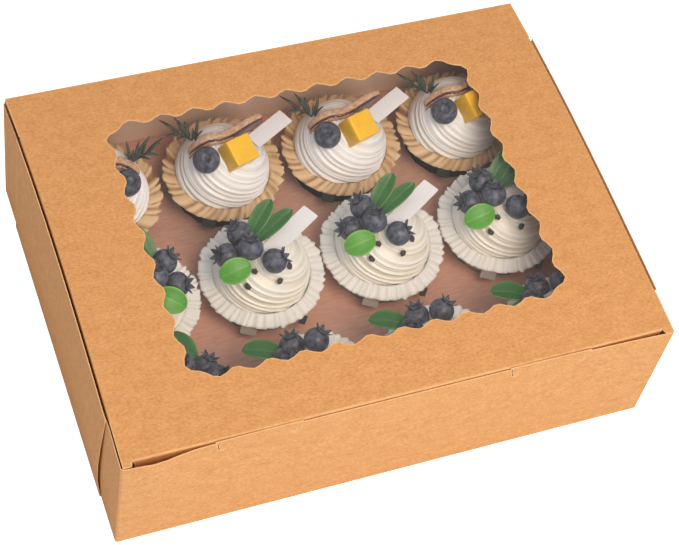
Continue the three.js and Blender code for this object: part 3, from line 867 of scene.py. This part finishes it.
@dataclass
class Blueberry:
    """Berry with a star crown round a sunken end.

    Attributes:
        radius: Radius of the berry.
        points: Points of its crown.
        reach: Share of the full length that the crown's points have.
        pit: Share of its radius that the sunken end covers.
        sink: Share of its radius by which that end is sunk.
        wall: Thickness of the crown.
    """

    radius: float = 7.5
    points: int = 6
    reach: float = 1.0
    pit: float = 0.42
    sink: float = 0.34
    wall: float = 0.45

    def skin(self, u: float, v: float) -> Point:
        """Places a point of the skin.

        Args:
            u: Share round the berry.
            v: Share from its stalk end to the bottom of its sunken end.

        Returns:
            The place round the berry's middle, in millimetres.
        """
        turn = 2 * math.pi * u
        tilt = math.pi * v
        swell = 1 + 0.02 * smooth_noise(math.cos(turn) * 1.5, math.sin(turn) * 1.5, v * 3)
        radius = self.radius * math.sin(tilt) * swell
        height = -self.radius * math.cos(tilt) * 0.94 * swell
        hollow = max(0.0, 1 - radius / (self.pit * self.radius)) if v > 0.5 else 0.0
        height -= self.sink * self.radius * min(1.0, hollow * 2.2) ** 0.7
        return (radius * math.cos(turn), radius * math.sin(turn), height)

    def rings(self, _: float, v: float) -> float:
        """Gives the darkness of the rings round the sunken end, at a share from the stalk end."""
        return max(0.0, math.cos((1 - v) * 42)) if v > 0.78 else 0.0

    def crown(self, u: float, v: float) -> Point:
        """Places a point of the crown, whose edge rises to points that bend outwards.

        Args:
            u: Share round the berry.
            v: Share from the crown's foot to its edge.

        Returns:
            The place round the berry's middle, in millimetres.
        """
        turn = 2 * math.pi * u
        peak = (1 - abs(((self.points * u) % 1) * 2 - 1)) ** 1.15
        reach = v * (0.16 + 0.84 * peak) * self.reach
        radius = self.radius * (0.4 + 0.36 * reach)
        height = self.radius * (0.78 + 0.36 * reach)
        return (radius * math.cos(turn), radius * math.sin(turn), height)

    def build(self, name: str, material: bpy.types.Material) -> bpy.types.Object:
        """Models and dresses the berry round the origin, its crown upwards.

        Args:
            name: The piece's name.
            material: Its material.

        Returns:
            The berry.
        """
        skin = rolled_grid(name, 28, 24, self.skin, hollow=self.rings)
        # The crown darkens towards its foot: painted shade in the sunken end.
        crown = rolled_grid(f"{name}_crown", 36, 3, self.crown, hollow=lambda u, v: 0.35 * (1 - v))
        apply_modifier(crown, "SOLIDIFY", thickness=self.wall * MM, offset=0)
        return dress(join(name, [skin, crown]), material)


@dataclass
class Leaf:
    """Waxy leaf, widest past its middle, cupped along its midrib.

    Attributes:
        root: Where it starts, above the cream's foot.
        tip: Where it ends.
        width: Its greatest width.
        arch: How far its middle rises over the line from root to tip.
        wide_at: Share of its length where it is widest.
        roll: Turn about its own length, in radians.
        thickness: Its thickness.
    """

    root: Point
    tip: Point
    width: float
    arch: float = 2.0
    wide_at: float = 0.62
    roll: float = 0.0
    thickness: float = 0.5

    def half_width(self, share: float) -> float:
        """Half of the leaf's width at a share of its length."""
        exponent = math.log(0.5) / math.log(self.wide_at)
        return self.width / 2 * max(0.0, math.sin(math.pi * share ** exponent)) ** 0.45

    def build(self, name: str, material: bpy.types.Material) -> bpy.types.Object:
        """Models and dresses the leaf in its place over the cream's foot.

        Args:
            name: The piece's name.
            material: Its material.

        Returns:
            The leaf.
        """
        root, tip = Vector(self.root), Vector(self.tip)
        along = tip - root
        length = along.length
        side = along.cross(Vector((0, 0, 1))).normalized()
        side = Matrix.Rotation(self.roll, 3, along.normalized()) @ side
        up = side.cross(along).normalized()

        def place(u: float, v: float) -> Point:
            """Places a point of the leaf.

            Args:
                u: Share across it.
                v: Share along it.

            Returns:
                The place, in millimetres.
            """
            across = (u - 0.5) * 2
            half = self.half_width(v)
            middle = root + along * v + up * (self.arch * math.sin(math.pi * v))
            cup = 0.16 * half * across * across - 0.25 * math.exp(-(across * 7) ** 2)
            wave = 0.25 * math.sin(v * 9 + across) * abs(across)
            return tuple(middle + side * (half * across) + up * (cup + wave * length / 25))

        piece = rolled_grid(name, 16, 22, place, closed=False,
                            hollow=lambda u, v: max(0.3 * math.exp(-((u - 0.5) * 28) ** 2),
                                                0.8 * math.exp(-(min(u, 1 - u) * 22) ** 2)))
        apply_modifier(piece, "SOLIDIFY", thickness=self.thickness * MM, offset=0)
        edit_all(piece, merge_doubles)
        return dress(piece, material)


@dataclass
class HerbSprig:
    """Sprig of a needle-leaved herb.

    Attributes:
        root: Where it stands, above the cream's foot.
        tip: Where its stem ends.
        needles: For each needle, the share of the stem where it starts, and its tip.
    """

    root: Point = (-16.1, 10.1, 20.0)
    tip: Point = (-30.0, 17.5, 27.0)
    needles: tuple[tuple[float, Point], ...] = (
        (0.55, (-35.0, 26.0, 27.6)), (0.3, (-26.6, 23.3, 31.6)), (0.0, (-12.9, 16.6, 33.6)),
        (0.1, (-17.7, 12.3, 31.6)), (0.4, (-28.2, 9.7, 25.6)), (0.0, (-11.9, 9.1, 31.6)),
        (0.25, (-24.5, 19.9, 31.6)), (0.6, (-34.0, 14.0, 25.0)), (0.75, (-33.5, 20.5, 30.0)),
        (0.2, (-20.5, 20.5, 29.0)), (0.5, (-25.0, 16.0, 32.5)), (0.35, (-29.5, 13.0, 29.0)),
    )

    def build(self, name: str, material: bpy.types.Material) -> bpy.types.Object:
        """Models and dresses the sprig in its place over the cream's foot.

        Args:
            name: The piece's name.
            material: Its material.

        Returns:
            The sprig.
        """
        root, tip = Vector(self.root), Vector(self.tip)
        parts = [self.blade(f"{name}_stem", root, tip, 0.9, 0.0)]
        for i, (share, end) in enumerate(self.needles):
            parts.append(self.blade(f"{name}_{i}", root.lerp(tip, share), Vector(end), 1.05, 1.0))
        return dress(join(name, parts), material)

    def blade(self, name: str, root: Vector, tip: Vector, width: float,
              bend: float) -> bpy.types.Object:
        """Models one narrow blade that bends towards its tip.

        Args:
            name: The blade's name.
            root: Where it starts.
            tip: Where it ends.
            width: Its radius at the thickest place.
            bend: How far its middle rises.

        Returns:
            A closed blade.
        """
        along = tip - root
        side = along.cross(Vector((0, 0, 1))).normalized()
        up = side.cross(along).normalized()

        def place(u: float, v: float) -> Point:
            """Places a point of the blade.

            Args:
                u: Share round it.
                v: Share along it.

            Returns:
                The place, in millimetres.
            """
            angle = 2 * math.pi * u
            radius = width * max(0.0, math.sin(math.pi * (0.08 + 0.92 * v))) ** 0.6
            radius = 0.0 if v in (0.0, 1.0) else radius
            middle = root + along * v + up * (bend * math.sin(math.pi * v))
            return tuple(middle + side * (radius * math.cos(angle))
                         + up * (radius * 0.5 * math.sin(angle)))

        return rolled_grid(name, 6, 7, place)


@dataclass
class CrustStrip:
    """Long strip of layered crust, with jam between its layers and pressed out in front.

    Attributes:
        path: Points that its middle line passes, above the cream's foot.
        thickness: Its thickness.
        height: Its height.
    """

    path: tuple[Point, ...] = ((-22.5, 3.0, 20.5), (-12.0, 2.6, 28.6), (-1.5, 1.2, 30.6),
                               (12.0, 6.4, 29.6), (27.0, 13.4, 27.6))
    thickness: float = 6.4
    height: float = 7.5

    def spot(self, share: float) -> Vector:
        """Follows the middle line.

        Args:
            share: Share of its length.

        Returns:
            The point, in millimetres.
        """
        last = len(self.path) - 1
        step = min(int(share * last), last - 1)
        before, start, end, after = (Vector(self.path[min(max(step + i, 0), last)])
                                     for i in (-1, 0, 1, 2))
        t = share * last - step
        return 0.5 * (2 * start + (end - before) * t
                      + (2 * before - 5 * start + 4 * end - after) * t ** 2
                      + (3 * start - before - 3 * end + after) * t ** 3)

    def layer(self, name: str, front: float, back: float, low: float, high: float, rough: float,
              ends: tuple[float, float] = (0.0, 1.0)) -> bpy.types.Object:
        """Models one layer of the strip.

        Args:
            name: The layer's name.
            front: Place of its front side across the strip.
            back: Place of its back side.
            low: Height of its lower edge.
            high: Height of its upper edge.
            rough: How far its surface is broken up.
            ends: Shares of the strip's length that it lies between.

        Returns:
            A closed layer.
        """
        def place(u: float, v: float) -> Point:
            """Places a point of the layer.

            Args:
                u: Share round its section.
                v: Share along it.

            Returns:
                The place, in millimetres.
            """
            turn = 2 * math.pi * u
            square = 1 / max(abs(math.cos(turn)), abs(math.sin(turn))) ** 0.75
            end = 0.0 if v in (0.0, 1.0) else min(1.0, 6 * v, 6 * (1 - v)) ** 0.25
            share = ends[0] + (ends[1] - ends[0]) * v
            along = (self.spot(min(share + 0.01, 1.0)) - self.spot(max(share - 0.01, 0.0)))
            back_way = Vector((-along.y, along.x, 0)).normalized()
            ragged = smooth_noise(v * 22, u * 4, front) + 0.6 * smooth_noise(v * 50, u * 9, 1)
            across = (front + back) / 2 + math.cos(turn) * square / 2 * (back - front) * end
            across += rough * ragged
            up = (low + high) / 2 + math.sin(turn) * square / 2 * (high - low) * end
            up += rough * 1.6 * smooth_noise(v * 16, u * 2, 7)
            return tuple(self.spot(share) + back_way * across + Vector((0, 0, up)))

        return rolled_grid(name, 20, 60, place)

    def build(self, name: str, crust: bpy.types.Material,
              jam: bpy.types.Material) -> bpy.types.Object:
        """Models and dresses the strip in its place over the cream's foot.

        Args:
            name: The piece's name.
            crust: Material of the baked layers.
            jam: Material of the layer between them.

        Returns:
            The strip.
        """
        half, low = self.thickness / 2, -self.height / 2
        parts = [
            dress(self.layer(f"{name}_back", -1.6, half, low, self.height / 2, 0.45), crust),
            dress(self.layer(f"{name}_front", -half, -2.0, low, self.height / 2 - 2.2, 0.5,
                             (0.0, 0.62)), crust),
            dress(self.layer(f"{name}_jam", -2.6, -1.0, low, self.height / 2 - 1.2, 0.35,
                             (0.02, 0.97)), jam),
        ]
        return join(name, parts)


@dataclass
class MangoCube:
    """Cube cut from a mango, its edges slightly rounded and its faces not quite flat.

    Attributes:
        side: Length of its edges.
        edge: How far its edges are rounded.
        place: Its middle, above the cream's foot.
        right: Direction of its right side.
        away: Direction of its far side.
        top: Direction of its top.
    """

    side: float = 16.6
    edge: float = 1.0
    place: Point = (3.6, -11.0, 29.8)
    right: Point = (0.943, 0.324, -0.102)
    away: Point = (-0.252, 0.873, 0.418)
    top: Point = (0.218, -0.369, 0.904)

    def build(self, name: str, material: bpy.types.Material) -> bpy.types.Object:
        """Models and dresses the cube in its place over the cream's foot.

        Args:
            name: The piece's name.
            material: Its material.

        Returns:
            The cube.
        """
        piece = cube(name, self.side * MM * 0.985)
        apply_modifier(piece, "BEVEL", width=self.edge * MM, segments=3)
        edit_all(piece, lambda: bpy.ops.mesh.subdivide(number_cuts=3))
        for vertex in piece.data.vertices:
            shift = smooth_noise(*(vertex.co / MM / 7)) * 0.25
            vertex.co += vertex.co.normalized() * shift * MM
        piece.data.shade_smooth()
        bpy.ops.object.shade_smooth_by_angle(angle=math.radians(35))
        turned = Matrix((self.right, self.away, self.top)).transposed().to_4x4()
        place = Matrix.Translation(Vector(self.place) * MM)
        return dress(move(piece, place @ turned), material)


@dataclass
class CardTag:
    """Bare card tag with rounded far corners.

    Attributes:
        place: Where it starts, above the cream's foot.
        turn: Direction that it points, in radians from +X.
        tilt: How far it rises.
        length: Its length.
        width: Its width.
        card: Thickness of the card.
        corner: Radius of its far corners.
    """

    place: Point
    turn: float
    tilt: float
    length: float
    width: float = 11.0
    card: float = 0.5
    corner: float = 0.9

    def build(self, name: str, material: bpy.types.Material) -> bpy.types.Object:
        """Models and dresses the tag in its place over the cream's foot.

        Args:
            name: The piece's name.
            material: Its material.

        Returns:
            The tag.
        """
        piece = cube(name)
        size = Matrix.Diagonal((self.length * MM, self.width * MM, self.card * MM * 0.9, 1))
        move(piece, Matrix.Translation((self.length * MM / 2, 0, 0)) @ size)
        weights = piece.data.attributes.new("bevel_weight_edge", "FLOAT", "EDGE")
        for edge in piece.data.edges:
            first, second = [piece.data.vertices[i].co for i in edge.vertices]
            upright = abs(first.z - second.z) > 1e-5
            weights.data[edge.index].value = float(upright and first.x > self.length * MM / 2)
        apply_modifier(piece, "BEVEL", width=self.corner * MM, segments=4, limit_method="WEIGHT")
        apply_modifier(piece, "BEVEL", width=0.08 * MM, segments=2, limit_method="ANGLE")
        turned = Matrix.Rotation(self.turn, 4, "Z") @ Matrix.Rotation(-self.tilt, 4, "Y")
        return dress(move(piece, Matrix.Translation(Vector(self.place) * MM) @ turned), material)


@dataclass
class Shards:
    """Small dark shards lying on the cream.

    Attributes:
        places: Where each lies on the cream, seen from above.
        size: Length of a shard.
    """

    places: tuple[tuple[float, float], ...] = ((-10.9, -13.0), (10.2, -14.3), (-15.9, -17.9),
                                               (2.4, -20.8))
    size: float = 4.4

    def build(self, name: str, material: bpy.types.Material) -> bpy.types.Object:
        """Models and dresses the shards over the cream's foot.

        Args:
            name: The piece's name.
            material: Its material.

        Returns:
            The shards.
        """
        parts = []
        for i, (x, y) in enumerate(self.places):
            deselect()
            bpy.ops.mesh.primitive_ico_sphere_add(subdivisions=2, radius=self.size * MM / 2)
            shard = bpy.context.object
            for vertex in shard.data.vertices:
                chipped = 1 + 0.35 * smooth_noise(*(vertex.co / MM / 1.2 + Vector((i, 0, 0))))
                vertex.co = Vector((vertex.co.x, vertex.co.y * 0.75, vertex.co.z * 0.5)) * chipped
            distance = math.hypot(x, y)
            slope = (x / distance * 0.8, y / distance * 0.8, 1.0)
            parts.append(move(shard, aim(slope, (x, y, dome(distance) - 0.4), i * 1.3)))
        return dress(join(name, parts), material)


@dataclass(frozen=True)
class Arrangement:
    """What stands on the cream of a white row's cupcakes.

    Attributes:
        berries: Where each berry sits, seen from above, and where its crown points.
        leaves: Each leaf with its finish.
        tag: The card tag.
        shards: The shards, where there are any.
    """

    berries: tuple[tuple[tuple[float, float], Point], ...]
    leaves: tuple[tuple[Leaf, Finish], ...]
    tag: CardTag
    shards: Shards | None = None


ARRANGEMENTS = {
    Row.MIDDLE: Arrangement(
        berries=(((-12.4, 12.6), (-0.55, 0.45, 0.7)), ((-22.7, 2.6), (-0.95, 0.05, 0.4)),
                 ((-10.3, -1.5), (0.05, 0.4, 0.9)), ((0.8, -12.8), (0.85, 0.0, 0.5))),
        leaves=(
            (Leaf((-9, 8, 23), (9.5, 23, 39), width=11, arch=2.5, wide_at=0.6), LEAF),
            (Leaf((-4.5, 4.5, 25), (19.5, 13.5, 38.5), width=10, wide_at=0.6), LEAF),
            (Leaf((-12.3, -9.5, 26.5), (-31, -10.6, 21), width=15, wide_at=0.5, roll=-0.5),
             YOUNG_LEAF),
        ),
        tag=CardTag((-1.0, -5.0, 27.0), turn=0.55, tilt=0.05, length=40.0),
        shards=Shards(),
    ),
    Row.FRONT: Arrangement(
        berries=(((-12, 23), (-0.1, 0.6, 0.8)), ((-20, 13), (-0.2, -0.1, 1.0)),
                 ((0, 18), (0.6, 0.3, 0.75))),
        leaves=(
            (Leaf((-17, 18, dome(25)), (-41, 27, dome(24) + 1), width=15, arch=2.5, wide_at=0.5,
                  roll=0.2), LEAF),
            (Leaf((-14, 9, dome(18)), (-37, 9, dome(24)), width=12, wide_at=0.5, roll=0.3), LEAF),
        ),
        tag=CardTag((1.0, 3.0, 27.0), turn=-2.62, tilt=0.05, length=40.0),
    ),
}


@dataclass
class Cupcakes:
    """Cupcakes of one row: masters built at the origin, and the copies that stand in the tray.

    Attributes:
        row: The row that they stand in.
        masters: The built pieces by name, with the slot and the nodes' prefix of each.
    """

    # Masters that stand on the cup's foot, while the others stand on the cream's
    ON_CUP: ClassVar[tuple[str, ...]] = ("cup", "tab", "clip", "corner")
    row: Row
    masters: dict[str, tuple[bpy.types.Object, str, str]] = field(default_factory=dict)

    def build(self, paint: dict[str, bpy.types.Material]) -> None:
        """Models every master of this row.

        Args:
            paint: Materials by the name of their finish.
        """
        if self.row is Row.BACK:
            self.build_fruit(paint)
        else:
            self.build_berries(paint)

    def build_berries(self, paint: dict[str, bpy.types.Material]) -> None:
        """Models the masters of a white row, with berries and leaves.

        Args:
            paint: Materials by the name of their finish.
        """
        arrangement = ARRANGEMENTS[self.row]
        cup = PaperCup(height=42.0, collar_rise=-1.0, lean=2.8, pleats=46, depth=0.9, ruffle=0.6,
                       skew=0.01, shade=0.5, seed=11)
        self.keep("cup", cup.build("white_cup", paint[WHITE_CUP.name], paint[WHITE_CUP.name]),
                  "white_cup_paper", "cup")
        clip = CupTab((-17.6, -31.6, 34.5), width=9.5, height=7.0)
        self.keep("clip", clip.build("clip", paint[CLIP.name]), "white_cup_paper", "")
        # Painted shadow: a small dark patch at the rim's front right, standing in for the shade under a
        # pleat's tip.
        corner = CupTab((15.6, -33.6, 35.0), width=5.5, height=5.5, roll=0.8)
        self.keep("corner", corner.build("corner", paint[CHIP_AND_SHADOW.name]), "white_cup_paper", "")
        swirl = Swirl(height=26.5, ridges=12, turn=0.78, depth=2.5, seed=8)
        self.keep("cream", swirl.build("vanilla_cream", paint[VANILLA_CREAM.name]),
                  "whipped_cream", "cream")
        if arrangement.shards:
            shards = arrangement.shards.build("shards", paint[CHIP_AND_SHADOW.name])
            self.keep("shards", shards, "whipped_cream", "")
        berries = self.berry_group(arrangement.berries, paint[BERRY.name])
        self.keep("berries", berries, "whipped_cream", "")
        leaves = [leaf.build(f"leaf_{i}", paint[finish.name])
                  for i, (leaf, finish) in enumerate(arrangement.leaves)]
        self.keep("leaves", join("leaf_group", leaves), "whipped_cream", "")
        tag = arrangement.tag.build("blank_tag", paint[TAG.name])
        self.keep("tag", tag, "tag_card", "tag")

    def build_fruit(self, paint: dict[str, bpy.types.Material]) -> None:
        """Models the masters of the back row, with fruit cube, crust and herb sprig.

        Args:
            paint: Materials by the name of their finish.
        """
        cup = PaperCup(pleats=34, depth=2.0, ruffle=1.5, skew=0.05, shade=1.0, seed=3)
        # The dark outer side of this cup is painted shade under its collar.
        self.keep("cup", cup.build("kraft_cup", paint[KRAFT_CUP.name], paint[DARK_TAB_AND_WALL_SHADE.name]),
                  "kraft_cup_paper", "cup")
        self.keep("cream", Swirl(seed=4).build("piped_cream", paint[CREAM.name]),
                  "whipped_cream", "cream")
        tab = CupTab((-17.8, -31.2, 36.0), width=8.0, height=6.5)
        self.keep("tab", tab.build("cup_tab", paint[DARK_TAB_AND_WALL_SHADE.name]), "kraft_cup_paper", "")
        berry = Blueberry(radius=8.3, points=8, reach=0.3).build("berry", paint[BERRY.name])
        place = (-15.7, -10.0, dome(18.6) + 5.27)
        self.keep("berries", move(berry, aim((-0.25, -0.35, 0.9), place)), "whipped_cream", "")
        self.keep("sprig", HerbSprig().build("sprig", paint[NEEDLE.name]), "whipped_cream", "")
        self.keep("mango", MangoCube().build("mango_cube", paint[MANGO.name]),
                  "mango_flesh", "mango")
        crust = CrustStrip().build("crust_strip", paint[CRUST.name], paint[JAM.name])
        self.keep("crust", crust, "baked_crust", "crust")
        tag = CardTag((17.0, -1.0, 23.5), turn=0.46, tilt=0.1, length=28.0)
        self.keep("tag", tag.build("blank_tag", paint[TAG.name]), "tag_card", "tag")

    def keep(self, name: str, piece: bpy.types.Object, slot: str, node: str) -> None:
        """Keeps a master with its slot and the prefix of the nodes that its copies replace."""
        self.masters[name] = (piece, slot, node)

    def berry_group(self, places: tuple[tuple[tuple[float, float], Point], ...],
                    material: bpy.types.Material) -> bpy.types.Object:
        """Places berries on the cream, each with its crown its own way.

        Args:
            places: Where each berry sits, seen from above, and where its crown points.
            material: The berries' material.

        Returns:
            The berries as one piece.
        """
        berry = Blueberry()
        master = berry.build("berry_master", material)
        parts = []
        for i, ((x, y), crown) in enumerate(places):
            height = dome(math.hypot(x, y)) + berry.radius * 0.42
            parts.append(copy_to(master, f"berry_{i}", aim(crown, (x, y, height), i * 1.9)))
        bpy.data.objects.remove(master)
        return join("berry_group", parts)

    def stand(self, number: int) -> None:
        """Copies the masters to one place of the row.

        Args:
            number: The place's number, from the left.
        """
        label = f"{self.row.value}_{number}"
        low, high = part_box(f"cup_{label}")
        middle = (low + high) / 2
        mirror, turn = FIRST_COLUMN[self.row] if number == 1 else (False, 0.0)
        turned = Matrix.Rotation(math.radians(turn), 4, "Z")
        if mirror:
            turned = turned @ Matrix.Scale(-1, 4, (1, 0, 0))
        for name, (master, slot, node) in self.masters.items():
            height = low.z if name in self.ON_CUP else CREAM_FOOT * MM
            place = Matrix.Translation((middle.x, middle.y, height)) @ turned
            piece = copy_to(master, f"{master.name.replace('_group', '')}_{label}", place)
            if mirror:
                piece.data.flip_normals()
            settle(piece, "box", slot, *([f"{node}_{label}"] if node else []))
        log.info("cupcake %s: %s", label, ", ".join(self.masters))

    def clear(self) -> None:
        """Removes the masters once every place has its copies."""
        for master, _, _ in self.masters.values():
            bpy.data.objects.remove(master)


@dataclass(frozen=True)
class Carton:
    """Carton, lid, film, tray and hidden cakes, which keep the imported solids' shapes.

    Attributes:
        finishes: Name of each of the carton's own pieces, with its finish.
    """

    finishes: tuple[tuple[str, Finish], ...] = (
        ("carton_base", KRAFT), ("lid", KRAFT), ("cup_tray", TRAY_CARD), ("window_film", FILM),
    )

    def build(self, paint: dict[str, bpy.types.Material]) -> None:
        """Dresses the carton's own pieces and the cakes.

        Args:
            paint: Materials by the name of their finish.
        """
        for name, finish in self.finishes:
            dress(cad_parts[name], paint[finish.name])
            log.info("carton piece %s: %s", name, finish.name)
        for name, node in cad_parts.items():
            if name.startswith("sponge_"):
                dress(node, paint[SPONGE.name])


# Camera, light and floor


@dataclass(frozen=True)
class Lamp:
    """Soft rectangular lamp.

    Attributes:
        name: Its name.
        place: Where it stands, in metres.
        size: Its side, in metres.
        power: Its power, in watts.
        colour: Its light's colour.
    """

    name: str
    place: Point
    size: float
    power: float
    colour: str

    def hang(self) -> None:
        """Adds the lamp, aimed at the middle of the object."""
        light = bpy.data.lights.new(self.name, "AREA")
        light.energy = self.power
        light.size = self.size
        light.color = linear(self.colour)[:3]
        lamp = bpy.data.objects.new(self.name, light)
        bpy.context.scene.collection.objects.link(lamp)
        lamp.location = self.place
        lamp.rotation_mode = "QUATERNION"
        lamp.rotation_quaternion = (Vector((0, 0, 0.05)) - lamp.location).to_track_quat("-Z", "Y")


@dataclass(frozen=True)
class Studio:
    """Camera at the photograph's view, lamps, world and a pale floor.

    Attributes:
        lens: Focal length of the camera, in millimetres.
        place: Where the camera stands, in metres.
        right: Direction of the picture's right side.
        up: Direction of its upper side.
        back: Direction from the object to the camera.
        ambient: Strength of the even light from all sides.
        sky: Colour of that light.
        floor_size: Side of the floor, in metres.
        floor_gap: How far the floor lies under the object, in metres.
        lamps: The lamps.
    """

    lens: float = 101.96
    place: Point = (-0.32049, -0.56281, 0.99724)
    right: Point = (0.93530, -0.32962, 0.12868)
    up: Point = (0.21206, 0.81326, 0.54188)
    back: Point = (-0.28326, -0.47954, 0.83055)
    ambient: float = 0.63
    sky: str = "#F0F6FF"
    floor_size: float = 8.0
    floor_gap: float = 0.0004
    lamps: tuple[Lamp, ...] = (
        Lamp("key", (0.1, -0.72, 1.2), size=0.7, power=12.4, colour="#FFE8D0"),
        Lamp("front_fill", (0.2, -1.8, 0.6), size=1.2, power=11.5, colour="#C2E5FF"),
    )

    def camera(self) -> None:
        """Adds the camera and makes it the scene's own."""
        data = bpy.data.cameras.new("camera")
        data.lens = self.lens
        data.sensor_width = 36
        camera = bpy.data.objects.new("camera", data)
        bpy.context.scene.collection.objects.link(camera)
        axes = Matrix((self.right, self.up, self.back)).transposed().to_4x4()
        camera.matrix_world = Matrix.Translation(self.place) @ axes
        bpy.context.scene.camera = camera

    def world(self) -> None:
        """Lights the scene evenly, and shows white to the camera."""
        world = bpy.data.worlds.new("studio")
        world.use_nodes = True
        bpy.context.scene.world = world
        tree = world.node_tree
        path = add_node(tree, "ShaderNodeLightPath")
        strength = add_node(tree, "ShaderNodeMapRange",
                            {"To Min": self.ambient, "To Max": 1.0},
                            {"Value": path.outputs["Is Camera Ray"]})
        background = tree.nodes["Background"]
        tint = add_node(tree, "ShaderNodeMix", {"data_type": "RGBA", 6: linear(self.sky),
                                                7: (1, 1, 1, 1)},
                        {0: path.outputs["Is Camera Ray"]})
        tree.links.new(tint.outputs[2], background.inputs["Color"])
        tree.links.new(strength.outputs["Result"], background.inputs["Strength"])

    def floor(self) -> None:
        """Lays the floor, pale enough to read as white, with the object's shadow on it."""
        deselect()
        bpy.ops.mesh.primitive_plane_add(size=self.floor_size, location=(0, 0, -self.floor_gap))
        floor = bpy.context.object
        floor.name = "floor"
        made = bpy.data.materials.new("pale_floor")
        made.use_nodes = True
        tree = made.node_tree
        shader = tree.nodes["Principled BSDF"]
        shader.inputs["Base Color"].default_value = linear("#F2F2F2")
        shader.inputs["Roughness"].default_value = 1.0
        shader.inputs["Specular IOR Level"].default_value = 0.0
        shader.inputs["Emission Color"].default_value = (1, 1, 1, 1)
        path = add_node(tree, "ShaderNodeLightPath")
        tree.links.new(path.outputs["Is Camera Ray"], shader.inputs["Emission Strength"])
        floor.data.materials.append(made)

    def build(self) -> None:
        """Sets up the whole studio."""
        self.camera()
        self.world()
        self.floor()
        for lamp in self.lamps:
            lamp.hang()
        bpy.context.scene.view_settings.view_transform = "Standard"


def main() -> None:
    """Builds the studio, the carton and every cupcake."""
    logging.basicConfig(level=logging.INFO, format="%(message)s")
    paint = {finish.name: finish.material() for finish in FINISHES}
    Studio().build()
    Carton().build(paint)
    for row in Row:
        cupcakes = Cupcakes(row)
        cupcakes.build(paint)
        for number in range(1, COLUMNS + 1):
            cupcakes.stand(number)
        cupcakes.clear()


if __name__ == "__main__":
    main()
